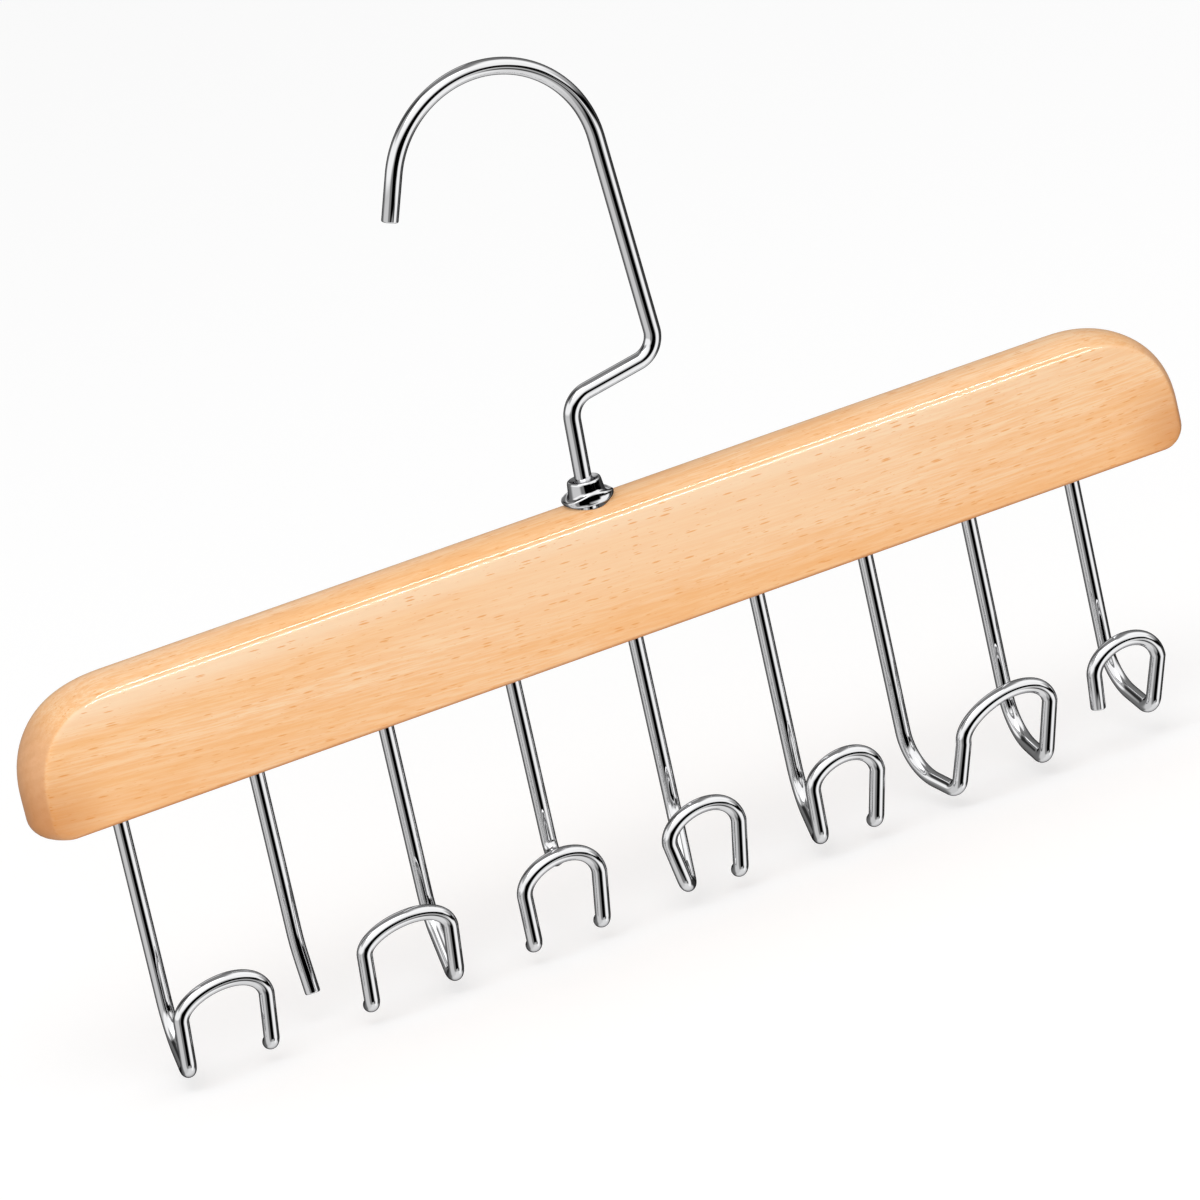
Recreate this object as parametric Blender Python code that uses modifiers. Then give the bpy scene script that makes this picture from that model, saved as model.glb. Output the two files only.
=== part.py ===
"""Multi-hook hanger: a wooden bar on a swivelling wire hook, with bent wire hooks below.

Units are metres, +Z is up. The origin is the rail seat: the lowest line of the hook's crown wire,
where a rail carries the hanger. The bar runs along X, and its hooks reach forward, towards -Y.
"""

import math

import bmesh
import bpy
from mathutils import Matrix, Vector

# Wooden bar
BAR_LENGTH = 0.3170
BAR_SHIFT = 0.00015
BAR_THICKNESS = 0.019
BAR_HEIGHT = 0.0353
ARRIS_INSET = 0.0033
ARRIS_ROUND = 0.0012
CORNER_REACH = 0.0290
FACE_CORNER_REACH = 0.0210
CORNER_STAND = 0.0101
CORNER_POWER = 2.25
LOWER_CORNER_RADIUS = 0.0045
FACE_LOWER_CORNER_RADIUS = 0.0055
LOWER_EDGE_ROUND = 0.0007
CROWN_POWER = 2.3

# Swivel hook of thick wire
HOOK_WIRE_RADIUS = 0.0022
CROWN_RADIUS = 0.0273
CROWN_OFFSET = 0.0036
CROWN_RISE = 0.0861
TAIL_LENGTH = 0.0118
TAIL_ANGLE = math.radians(161)
LEAN_ANGLE = math.radians(3)
NECK_RISE = 0.0261
NECK_LEAN = 0.0010
NECK_SLOPE = math.radians(10.3)
NECK_BEND_RADIUS = 0.0065
END_CHAMFER = 0.0006
END_RADIUS_SHARE = 0.72
HEAD_RADIUS = 0.0034
HEAD_THICKNESS = 0.0016
SHOULDER_STEP = 0.0001

# Parts that carry the hook in the bar
RUNNING_GAP = 0.0003
SEAT_GAP = 0.0003
NECK_THICKNESS = 0.0024
SLEEVE_WALL = 0.0011
BARB_HEIGHT = 0.0004
BARB_PITCH = 0.0024
SLEEVE_RECESS = 0.0026
WASHER_THICKNESS = 0.0008
FERRULE_TOP_RADIUS = 0.0041
FERRULE_FOOT_RADIUS = 0.0049
FERRULE_HEIGHT = 0.0055
FERRULE_WALL = 0.0007
FERRULE_ROUND = 0.0009
BRIM_RADIUS = 0.0064
BRIM_SEAT_RADIUS = 0.0059
BRIM_LIFT = 0.0010
BRIM_CURL = 0.0013

# Hooks of thinner wire
WIRE_RADIUS = 0.0020
LEG_SEAT_DEPTH = 0.0120
LEG_LEAN = 0.0007
BORE_WEB = 0.0030
HOOK_REACH = 0.0180
FOOT_DROP = 0.0632
SPRING_DROP = 0.0505
ARCH_RISE = 0.0070
ARCH_SPAN = 0.0200
KNEE_RISE = 0.0065
KNEE_RADIUS = 0.0120
FOOT_RADIUS = 0.0028
STUB_RADIUS = 0.0020
STUB_REACH = 0.0030
STUB_FALL = 0.0004
ROUND_END = 0.0013
PEG_BEND_DROP = 0.0480
PEG_LENGTH = 0.0605
PEG_LEAN = 0.0030
PEG_BEND_RADIUS = 0.0300
NINTH_HOOK_LIFT = 0.0028
NINTH_TAIL_DROP = 0.0586
POST_KNEE_DROP = 0.0505
POST_BEND_RADIUS = 0.0042
POST_TIP_LENGTH = 0.0012
POST_TIP_SHARE = 0.5

# Places of the nine legs, as shares of the bar length from the middle of the bar
LEG_PLACE_SHARES = (-0.4303, -0.3149, -0.2043, -0.0947, 0.0122, 0.1189, 0.2152, 0.3078, 0.4009)

# Each bent hook beside its leg: left and right spring, then left and right foot, as shares of
# the arch span; rise of the arch as a share of the arch rise; height of the knee above the foot
# as a share of the knee rise; sink of the leg's foot as a share of the foot radius
HOOK_SHARES = {
    "wire_hook_1": (-0.145, 0.995, -0.200, 0.910, 0.95, 0.80, 0.45),
    "wire_hook_3": (-1.260, -0.095, -1.310, -0.180, 0.86, 1.60, 1.15),
    "wire_loop_4": (-0.810, 0.210, -0.825, 0.110, 1.05, 1.00, 0.00),
    "wire_hook_5": (-0.505, 0.450, -0.380, 0.330, 1.00, 2.10, 0.80),
    "wire_hook_6": (-0.195, 0.705, -0.225, 0.540, 0.95, 1.00, 0.45),
    "wire_hook_7_8": (0.385, 1.645, 0.180, 1.420, 1.05, 0.50, 0.20),
    "wire_hook_9": (-0.640, 0.270, -0.680, 0.035, 1.00, 0.75, 0.25),
}
TILTED_ARCH_SHARE = 0.21
ARCH_SKEW_SHARE = 0.12
ROUND_END_SHARES = ((0.0, 1.0), (0.5, 0.87), (0.85, 0.55), (1.0, 0.2))

# Facet counts
WIRE_RESOLUTION = 2
HOOK_RESOLUTION = 4
TURN_STEPS = 32
CORNER_STEPS = 9
LOWER_CORNER_STEPS = 3
ARCH_STEPS = 12
CROWN_ARC_STEPS = 20
BEND_STEP = math.radians(18)
CROSS_SHARES = (0.0, 0.25, 0.5, 0.72, 0.88)
ARRIS_STEPS = 3

# Places worked out from the sizes above
HALF_THICKNESS = BAR_THICKNESS / 2
CORNER_DROP = BAR_HEIGHT - CORNER_STAND
SHANK_X = CROWN_OFFSET
BAR_X = SHANK_X - BAR_SHIFT
CROWN_CENTRE_Z = HOOK_WIRE_RADIUS - CROWN_RADIUS
RIDGE_Z = CROWN_CENTRE_Z - CROWN_RISE
BAR_BOTTOM_Z = RIDGE_Z - BAR_HEIGHT
SLEEVE_TOP_Z = RIDGE_Z - SLEEVE_RECESS
SLEEVE_BORE_FLOOR_Z = BAR_BOTTOM_Z + LEG_SEAT_DEPTH + SEAT_GAP + BORE_WEB
SLEEVE_BOTTOM_Z = SLEEVE_BORE_FLOOR_Z + SEAT_GAP
SLEEVE_NECK_RADIUS = HOOK_WIRE_RADIUS + RUNNING_GAP
SLEEVE_CAVITY_RADIUS = HEAD_RADIUS + RUNNING_GAP
SLEEVE_OUTER_RADIUS = SLEEVE_CAVITY_RADIUS + SLEEVE_WALL
SLEEVE_BORE_RADIUS = SLEEVE_OUTER_RADIUS + BARB_HEIGHT + SEAT_GAP
WASHER_TOP_Z = SLEEVE_TOP_Z - NECK_THICKNESS - SEAT_GAP
HEAD_TOP_Z = WASHER_TOP_Z - WASHER_THICKNESS - RUNNING_GAP
HEAD_BOTTOM_Z = HEAD_TOP_Z - HEAD_THICKNESS


def clear_scene():
    """Remove the objects that the file opened with."""
    for item in list(bpy.data.objects):
        bpy.data.objects.remove(item, do_unlink=True)


def new_collection(name):
    """Add a collection to the scene."""
    made = bpy.data.collections.new(name)
    bpy.context.scene.collection.children.link(made)
    return made


def new_material(name, colour, roughness, metallic):
    """Make a plain finish."""
    made = bpy.data.materials.new(name)
    made.use_nodes = True
    made.diffuse_color = (*colour, 1)
    shader = made.node_tree.nodes["Principled BSDF"]
    shader.inputs["Base Color"].default_value = (*colour, 1)
    shader.inputs["Roughness"].default_value = roughness
    shader.inputs["Metallic"].default_value = metallic
    return made


def mesh_object(name, form, collection, material=None):
    """Turn a bmesh into an object of the collection."""
    mesh = bpy.data.meshes.new(name)
    form.to_mesh(mesh)
    form.free()
    made = bpy.data.objects.new(name, mesh)
    collection.objects.link(made)
    if material:
        mesh.materials.append(material)
    return made


def shade_round(item):
    """Shade a round piece smooth and keep its edges sharp."""
    item.data.shade_smooth()
    item.data.set_sharp_from_angle(angle=math.radians(35))


def arc_points(centre, across, up, start, end, steps):
    """Points of an arc about a centre, in the plane of two scaled axes."""
    found = []
    for index in range(steps + 1):
        turn = start + (end - start) * index / steps
        found.append(centre + across * math.cos(turn) + up * math.sin(turn))
    return found


def rounded_corner(before, corner, after, radius):
    """Points of the bend that rounds one corner of a wire."""
    to_before = (before - corner).normalized()
    to_after = (after - corner).normalized()
    turn = math.pi - to_before.angle(to_after)
    reach = radius * math.tan(turn / 2)
    room = min((before - corner).length, (after - corner).length)
    reach = min(reach, room * 0.98)
    fitted = reach / math.tan(turn / 2)
    middle = (to_before + to_after).normalized()
    centre = corner + middle * (fitted / math.cos(turn / 2))
    start = corner + to_before * reach - centre
    side = (corner + to_after * reach - centre) - start * math.cos(turn)
    across = side.normalized() * fitted
    steps = max(2, math.ceil(turn / BEND_STEP))
    return arc_points(centre, start, across, 0, turn, steps)


def bent_path(corners, radii):
    """Straight runs through the corners, each inner corner rounded to its radius."""
    path = [corners[0]]
    for index, radius in enumerate(radii, start=1):
        before = path[-1]
        if radius:
            path.extend(rounded_corner(before, corners[index], corners[index + 1], radius))
        else:
            path.append(corners[index])
    path.append(corners[-1])
    return path


def wire(name, path, radius, resolution, collection, material, swells=None):
    """A round wire along a path, with filled ends. Swells are radius shares by point."""
    curve = bpy.data.curves.new(name, "CURVE")
    curve.dimensions = "3D"
    curve.bevel_depth = radius
    curve.bevel_resolution = resolution
    curve.use_fill_caps = True
    spline = curve.splines.new("POLY")
    spline.points.add(len(path) - 1)
    for index, place in enumerate(path):
        spline.points[index].co = (*place, 1)
        spline.points[index].radius = swells[index] if swells else 1
    spline.use_smooth = True
    curve.materials.append(material)
    made = bpy.data.objects.new(name, curve)
    collection.objects.link(made)
    return made


def ridge_fall(y):
    """How far the crowned top of the bar lies below its ridge, beside it by y."""
    return ARRIS_INSET * min(abs(y) / HALF_THICKNESS, 1) ** CROWN_POWER


def bar_stations():
    """Cross stations of the bar from ridge to face: half width, upper inset and lower rise."""
    stations = []
    flat = HALF_THICKNESS - ARRIS_ROUND
    for share in CROSS_SHARES:
        stations.append((flat * share, ridge_fall(flat * share)))
    start = ridge_fall(flat)
    drop = ARRIS_INSET + ARRIS_ROUND / 2 - start
    for index in range(ARRIS_STEPS + 1):
        turn = math.pi / 2 * index / ARRIS_STEPS
        stations.append((flat + ARRIS_ROUND * math.sin(turn), start + drop * (1 - math.cos(turn))))
    found = []
    for half_width, inset in stations:
        beyond = max(half_width - (HALF_THICKNESS - LOWER_EDGE_ROUND), 0)
        rise = LOWER_EDGE_ROUND - math.sqrt(max(LOWER_EDGE_ROUND ** 2 - beyond ** 2, 0))
        found.append((half_width, inset, rise))
    return found


def bar_outline(inset, rise):
    """Outline of the bar at one station, seen from the front, with its centre at the bottom."""
    end = BAR_LENGTH / 2 - inset
    top = BAR_HEIGHT - inset
    share = inset / ARRIS_INSET
    reach = CORNER_REACH + (FACE_CORNER_REACH - CORNER_REACH) * share
    radius = LOWER_CORNER_RADIUS + (FACE_LOWER_CORNER_RADIUS - LOWER_CORNER_RADIUS) * share
    drop = CORNER_DROP - inset
    right = []
    for index in range(CORNER_STEPS + 1):
        turn = math.pi / 2 * (1 - index / CORNER_STEPS)
        along = math.cos(turn) ** (2 / CORNER_POWER) if index else 0
        above = math.sin(turn) ** (2 / CORNER_POWER) if index < CORNER_STEPS else 0
        right.append(Vector((end - reach * (1 - along), top - drop * (1 - above))))
    low = Vector((end - radius, rise + radius))
    across = Vector((radius, 0))
    down = Vector((0, -radius))
    right.extend(arc_points(low, across, down, 0, math.pi / 2, LOWER_CORNER_STEPS))
    left = [Vector((-point.x, point.y)) for point in reversed(right)]
    return right + left


def bar_ring(form, half_width, inset, rise, side):
    """One closed ring of vertices of the bar."""
    ring = []
    for point in bar_outline(inset, rise):
        place = (BAR_X + point.x, side * half_width, BAR_BOTTOM_Z + point.y)
        ring.append(form.verts.new(place))
    return ring


def wooden_bar(parts, cutters, material):
    """The bar: a loft from face to face over the ridge, drilled for the sleeve and the legs."""
    form = bmesh.new()
    stations = bar_stations()
    rings = [bar_ring(form, *station, -1) for station in reversed(stations[1:])]
    rings += [bar_ring(form, *station, 1) for station in stations]
    for first, second in zip(rings, rings[1:]):
        for index in range(len(first)):
            after = (index + 1) % len(first)
            form.faces.new((first[index], first[after], second[after], second[index]))
    form.faces.new(rings[0])
    form.faces.new(rings[-1])
    bmesh.ops.recalc_face_normals(form, faces=form.faces)
    bar = mesh_object("wooden_bar", form, parts, material)
    shade_round(bar)
    cutter = bar_bores(cutters)
    cut = bar.modifiers.new("bores", "BOOLEAN")
    cut.operation = "DIFFERENCE"
    cut.solver = "EXACT"
    cut.object = cutter
    return bar


def drill(form, x, low, high, radius):
    """Add one upright drill to the cutter."""
    place = Matrix.Translation((x, 0, (low + high) / 2))
    bmesh.ops.create_cone(
        form, cap_ends=True, segments=TURN_STEPS // 2, radius1=radius, radius2=radius,
        depth=high - low, matrix=place)


def bar_bores(cutters):
    """Drills for the sleeve's bore from above and the nine leg bores from below."""
    form = bmesh.new()
    drill(form, SHANK_X, SLEEVE_BORE_FLOOR_Z, RIDGE_Z + SLEEVE_BORE_RADIUS, SLEEVE_BORE_RADIUS)
    bore_radius = WIRE_RADIUS + SEAT_GAP
    bore_top = BAR_BOTTOM_Z + LEG_SEAT_DEPTH + SEAT_GAP
    for share in LEG_PLACE_SHARES:
        drill(form, leg_x(share), BAR_BOTTOM_Z - bore_radius, bore_top, bore_radius)
    made = mesh_object("bore_drills", form, cutters)
    made.display_type = "WIRE"
    made.hide_render = True
    return made


def leg_x(share):
    """Place of a leg along the bar."""
    return BAR_X + share * BAR_LENGTH


def swivel_hook(parts, material):
    """The hook: a crown arc, a straight back, a neck bend and a shank with an upset head."""
    centre = Vector((0, 0, CROWN_CENTRE_Z))
    across = Vector((CROWN_RADIUS, 0, 0))
    up = Vector((0, 0, CROWN_RADIUS))
    arc = arc_points(centre, across, up, TAIL_ANGLE, LEAN_ANGLE, CROWN_ARC_STEPS)
    tail_way = Vector((-math.sin(TAIL_ANGLE), 0, math.cos(TAIL_ANGLE)))
    tail_end = arc[0] + tail_way * TAIL_LENGTH
    chamfer = arc[0] + tail_way * (TAIL_LENGTH - END_CHAMFER)
    neck = Vector((SHANK_X + NECK_LEAN, 0, RIDGE_Z + NECK_RISE))
    back_way = Vector((math.sin(LEAN_ANGLE), 0, -math.cos(LEAN_ANGLE)))
    neck_way = Vector((math.cos(NECK_SLOPE), 0, math.sin(NECK_SLOPE)))
    to_neck = arc[-1] - neck
    lap = neck_way.x * back_way.z - neck_way.z * back_way.x
    run = (to_neck.x * back_way.z - to_neck.z * back_way.x) / lap
    heel = neck + neck_way * run
    collar = Vector((SHANK_X, 0, RIDGE_Z + SEAT_GAP + FERRULE_HEIGHT))
    head_top = Vector((SHANK_X, 0, HEAD_TOP_Z))
    corners = [arc[-1], heel, neck, collar, head_top]
    lower = bent_path(corners, [NECK_BEND_RADIUS, NECK_BEND_RADIUS, 0])
    shoulder = head_top - Vector((0, 0, SHOULDER_STEP))
    head_end = Vector((SHANK_X, 0, HEAD_BOTTOM_Z))
    path = [tail_end, chamfer] + arc + lower[1:] + [shoulder, head_end]
    swells = [1] * len(path)
    swells[0] = END_RADIUS_SHARE
    swells[-1] = swells[-2] = HEAD_RADIUS / HOOK_WIRE_RADIUS
    made = wire("swivel_hook", path, HOOK_WIRE_RADIUS, HOOK_RESOLUTION, parts, material, swells)
    return made


def turned(name, profile, x, parts, material):
    """A ring turned from a closed profile of (radius, height) points about an upright axis."""
    form = bmesh.new()
    ring = [form.verts.new((radius, 0, height)) for radius, height in profile]
    for index, corner in enumerate(ring):
        form.edges.new((corner, ring[(index + 1) % len(ring)]))
    made = mesh_object(name, form, parts, material)
    made.location.x = x
    screw = made.modifiers.new("turn", "SCREW")
    screw.steps = TURN_STEPS
    screw.render_steps = TURN_STEPS
    screw.use_merge_vertices = True
    screw.merge_threshold = 0.00001
    screw.use_smooth_shade = True
    return made


def anchor_sleeve(parts, material):
    """The barbed sleeve in the bar: a neck at the top that holds the head in, open below."""
    outer = [(SLEEVE_OUTER_RADIUS, SLEEVE_TOP_Z)]
    room = SLEEVE_TOP_Z - SLEEVE_BOTTOM_Z
    count = max(int(room / BARB_PITCH) - 1, 1)
    for index in range(count):
        top = SLEEVE_TOP_Z - BARB_PITCH * (index + 0.6)
        outer.append((SLEEVE_OUTER_RADIUS, top))
        outer.append((SLEEVE_OUTER_RADIUS + BARB_HEIGHT, top - BARB_HEIGHT / 4))
        outer.append((SLEEVE_OUTER_RADIUS, top - BARB_PITCH / 2))
    inner = [
        (SLEEVE_OUTER_RADIUS, SLEEVE_BOTTOM_Z),
        (SLEEVE_CAVITY_RADIUS, SLEEVE_BOTTOM_Z),
        (SLEEVE_CAVITY_RADIUS, SLEEVE_TOP_Z - NECK_THICKNESS),
        (SLEEVE_NECK_RADIUS, SLEEVE_TOP_Z - NECK_THICKNESS),
        (SLEEVE_NECK_RADIUS, SLEEVE_TOP_Z),
    ]
    return turned("anchor_sleeve", outer + inner, SHANK_X, parts, material)


def thrust_washer(parts, material):
    """The washer between the hook's head and the neck of the sleeve."""
    profile = [
        (HEAD_RADIUS, WASHER_TOP_Z),
        (HEAD_RADIUS, WASHER_TOP_Z - WASHER_THICKNESS),
        (SLEEVE_NECK_RADIUS, WASHER_TOP_Z - WASHER_THICKNESS),
        (SLEEVE_NECK_RADIUS, WASHER_TOP_Z),
    ]
    return turned("thrust_washer", profile, SHANK_X, parts, material)


def ferrule_profile():
    """Half section of the ferrule, outside from the top down, then inside back up."""
    foot = RIDGE_Z + SEAT_GAP
    top = foot + FERRULE_HEIGHT
    outside = [(SLEEVE_NECK_RADIUS, top)]
    round_centre = Vector((FERRULE_TOP_RADIUS - FERRULE_ROUND, top - FERRULE_ROUND))
    across = Vector((FERRULE_ROUND, 0))
    up = Vector((0, FERRULE_ROUND))
    shoulder = arc_points(round_centre, across, up, math.pi / 2, 0, 3)
    outside += [tuple(point) for point in shoulder]
    outside += [
        (FERRULE_FOOT_RADIUS, foot + 2 * FERRULE_WALL),
        (BRIM_RADIUS, foot + FERRULE_WALL + BRIM_LIFT / 2),
        (BRIM_RADIUS, foot + BRIM_LIFT / 2),
    ]
    inside = [
        (BRIM_SEAT_RADIUS, foot),
        (FERRULE_FOOT_RADIUS - FERRULE_WALL / 2, foot),
        (FERRULE_FOOT_RADIUS - FERRULE_WALL, foot + FERRULE_WALL),
        (FERRULE_TOP_RADIUS - FERRULE_WALL, top - FERRULE_ROUND),
        (FERRULE_TOP_RADIUS - FERRULE_ROUND, top - FERRULE_WALL),
        (SLEEVE_NECK_RADIUS, top - FERRULE_WALL),
    ]
    return outside + inside


def brim_curl(x, y):
    """How far the brim curls up at a place beside the ferrule's axis, most along the bar."""
    beyond = max(math.hypot(x, y) - FERRULE_FOOT_RADIUS, 0) / (BRIM_RADIUS - FERRULE_FOOT_RADIUS)
    return BRIM_CURL * beyond * (x / BRIM_RADIUS) ** 2


def ferrule(parts, material):
    """The hat-shaped ferrule on the ridge: its brim follows the crown and curls up at two sides."""
    ring = ferrule_profile()
    form = bmesh.new()
    verts = [form.verts.new((radius, 0, height)) for radius, height in ring]
    edges = [form.edges.new((one, verts[(index + 1) % len(verts)]))
             for index, one in enumerate(verts)]
    axis = Vector((0, 0, 1))
    bmesh.ops.spin(
        form, geom=verts + edges, cent=(0, 0, 0), axis=axis, angle=2 * math.pi,
        steps=TURN_STEPS, use_merge=True)
    foot = RIDGE_Z + SEAT_GAP
    for vert in form.verts:
        share = max(1 - (vert.co.z - foot) / FERRULE_HEIGHT, 0)
        vert.co.z += brim_curl(vert.co.x, vert.co.y) - ridge_fall(vert.co.y) * share
    bmesh.ops.recalc_face_normals(form, faces=form.faces)
    made = mesh_object("ferrule", form, parts, material)
    made.location.x = SHANK_X
    shade_round(made)
    return made


class HookForm:
    """Corner places of one bent wire hook, from its leg's place and its shares."""

    def __init__(self, name, leg, lift=0):
        left, right, left_foot, right_foot, rise, knee, sink = HOOK_SHARES[name]
        self.lift = lift
        self.left = leg + left * ARCH_SPAN
        self.right = leg + right * ARCH_SPAN
        self.left_foot = leg + left_foot * ARCH_SPAN
        self.right_foot = leg + right_foot * ARCH_SPAN
        self.rise = rise * ARCH_RISE
        self.knee_drop = FOOT_DROP - knee * KNEE_RISE
        self.foot_drop = FOOT_DROP + sink * FOOT_RADIUS

    def at(self, x, y, drop):
        """A place below the bar."""
        return Vector((x, y, BAR_BOTTOM_Z - drop + self.lift))

    def seat(self, leg):
        """The top of a leg, in its bore."""
        return Vector((leg, 0, BAR_BOTTOM_Z + LEG_SEAT_DEPTH))

    def mouth(self, leg):
        """Where a leg leaves its bore."""
        return Vector((leg, 0, BAR_BOTTOM_Z))

    def arch(self, tilt=0):
        """The arch from its left spring over the crown to its right spring."""
        middle = (self.left + self.right) / 2
        half = (self.right - self.left) / 2
        found = []
        for index in range(ARCH_STEPS + 1):
            turn = math.pi * index / ARCH_STEPS
            across = ARCH_SKEW_SHARE * math.sin(turn) ** 2 - math.cos(turn)
            spring_drop = SPRING_DROP - tilt * self.rise * across
            drop = spring_drop - self.rise * math.sin(turn)
            found.append(self.at(middle + half * across, -HOOK_REACH, drop))
        return found

    def rear_run(self, leg, foot, spring):
        """Leg, knee and foot, up to the spring of the arch."""
        corners = [
            self.seat(leg),
            self.mouth(leg),
            self.at(leg - LEG_LEAN, 0, self.knee_drop),
            self.at(foot, -HOOK_REACH, self.foot_drop),
            spring,
        ]
        return bent_path(corners, [0, KNEE_RADIUS, FOOT_RADIUS])

    def stub(self, spring, foot):
        """Front stroke down from the spring to a foot turned back and cut short."""
        low = self.at(foot, -HOOK_REACH, FOOT_DROP)
        end = low + Vector((0, STUB_REACH, -STUB_FALL))
        return bent_path([spring, low, end], [STUB_RADIUS])


def round_end(path):
    """Radius shares that round off the last end of a wire, with the points they need."""
    way = (path[-1] - path[-2]).normalized()
    base = path[-1] - way * min(ROUND_END, (path[-1] - path[-2]).length * 0.9)
    reach = path[-1] - base
    tips = [base + reach * place for place, _ in ROUND_END_SHARES]
    swells = [1] * (len(path) - 1) + [swell for _, swell in ROUND_END_SHARES]
    return path[:-1] + tips, swells


def hook_from_left(name, leg, parts, material):
    """A wire whose leg meets the left foot, with its arch running right to a cut foot."""
    form = HookForm(name, leg)
    arch = form.arch()
    path = form.rear_run(leg, form.left_foot, arch[0]) + arch[1:]
    path += form.stub(arch[-1], form.right_foot)[1:]
    path, swells = round_end(path)
    return wire(name, path, WIRE_RADIUS, WIRE_RESOLUTION, parts, material, swells)


def hook_from_right(name, leg, parts, material):
    """A wire whose leg meets the right foot, with its arch running left to a cut foot."""
    form = HookForm(name, leg)
    arch = form.arch()[::-1]
    path = form.rear_run(leg, form.right_foot, arch[0]) + arch[1:]
    path += form.stub(arch[-1], form.left_foot)[1:]
    path, swells = round_end(path)
    return wire(name, path, WIRE_RADIUS, WIRE_RESOLUTION, parts, material, swells)


def open_hook(name, leg, parts, material):
    """A wire whose leg meets the right foot, with its arch ending in a straight cut tail."""
    form = HookForm(name, leg, NINTH_HOOK_LIFT)
    arch = form.arch()[::-1]
    tail = form.at(form.left_foot, -HOOK_REACH, NINTH_TAIL_DROP)
    path = form.rear_run(leg, form.right_foot, arch[0]) + arch[1:] + [tail]
    return wire(name, path, WIRE_RADIUS, WIRE_RESOLUTION, parts, material)


def closed_hook(name, leg, second_leg, parts, material):
    """One wire with two legs, joined by two feet and a slanting arch."""
    form = HookForm(name, leg)
    arch = form.arch(TILTED_ARCH_SHARE)
    first = form.rear_run(leg, form.left_foot, arch[0])
    last = form.rear_run(second_leg, form.right_foot, arch[-1])
    path = first + arch[1:-1] + last[::-1]
    return wire(name, path, WIRE_RADIUS, WIRE_RESOLUTION, parts, material)


def straight_peg(name, leg, parts, material):
    """A straight wire peg, bent a little forward near its cut end."""
    low = leg - LEG_LEAN
    corners = [
        Vector((leg, 0, BAR_BOTTOM_Z + LEG_SEAT_DEPTH)),
        Vector((leg, 0, BAR_BOTTOM_Z)),
        Vector((low, 0, BAR_BOTTOM_Z - PEG_BEND_DROP)),
        Vector((low, -PEG_LEAN, BAR_BOTTOM_Z - PEG_LENGTH)),
    ]
    path = bent_path(corners, [0, PEG_BEND_RADIUS])
    return wire(name, path, WIRE_RADIUS, WIRE_RESOLUTION, parts, material)


def loop_and_post(leg, parts, material):
    """A separate loop with two cut feet, and the wire post that carries it at its crown."""
    form = HookForm("wire_loop_4", leg)
    arch = form.arch()
    left, left_swells = round_end(form.stub(arch[0], form.left_foot))
    right, right_swells = round_end(form.stub(arch[-1], form.right_foot))
    path = left[::-1] + arch[1:-1] + right
    swells = left_swells[::-1] + [1] * (len(arch) - 2) + right_swells
    loop = wire("wire_loop_4", path, WIRE_RADIUS, WIRE_RESOLUTION, parts, material, swells)
    crown = arch[ARCH_STEPS // 2]
    knee = form.at(leg - LEG_LEAN, 0, POST_KNEE_DROP)
    away = (knee - crown).normalized()
    tip = crown + away * (WIRE_RADIUS + 2 * SEAT_GAP)
    post = bent_path([form.seat(leg), form.mouth(leg), knee, tip], [0, POST_BEND_RADIUS])
    post.insert(-1, tip + away * POST_TIP_LENGTH)
    swells = [1] * (len(post) - 1) + [POST_TIP_SHARE]
    wire("wire_post_4", post, WIRE_RADIUS, WIRE_RESOLUTION, parts, material, swells)
    return loop


def build():
    """Build the hanger."""
    clear_scene()
    parts = new_collection("multi_hook_hanger")
    cutters = new_collection("cutters")
    beech = new_material("beech", (0.93, 0.56, 0.29), 0.42, 0)
    chrome = new_material("chrome", (0.78, 0.78, 0.80), 0.08, 1)
    steel = new_material("zinc_steel", (0.55, 0.55, 0.56), 0.35, 1)
    legs = [leg_x(share) for share in LEG_PLACE_SHARES]
    wooden_bar(parts, cutters, beech)
    swivel_hook(parts, chrome)
    ferrule(parts, chrome)
    anchor_sleeve(parts, steel)
    thrust_washer(parts, steel)
    hook_from_left("wire_hook_1", legs[0], parts, chrome)
    straight_peg("wire_peg_2", legs[1], parts, chrome)
    hook_from_right("wire_hook_3", legs[2], parts, chrome)
    loop_and_post(legs[3], parts, chrome)
    hook_from_left("wire_hook_5", legs[4], parts, chrome)
    hook_from_left("wire_hook_6", legs[5], parts, chrome)
    closed_hook("wire_hook_7_8", legs[6], legs[7], parts, chrome)
    open_hook("wire_hook_9", legs[8], parts, chrome)


build()
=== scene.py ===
"""A multi-hook hanger, dressed for a plain pale studio.

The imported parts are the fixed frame. Round wires, a finely rounded bar and a pressed ferrule
stand in for the plain solids, in the same places. Lengths are metres, +Z is up, the bar runs
along X and its hooks reach forward, towards -Y. The origin is where a rail carries the hook.
"""

import logging
import math
from dataclasses import dataclass, field
from enum import Enum

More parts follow.
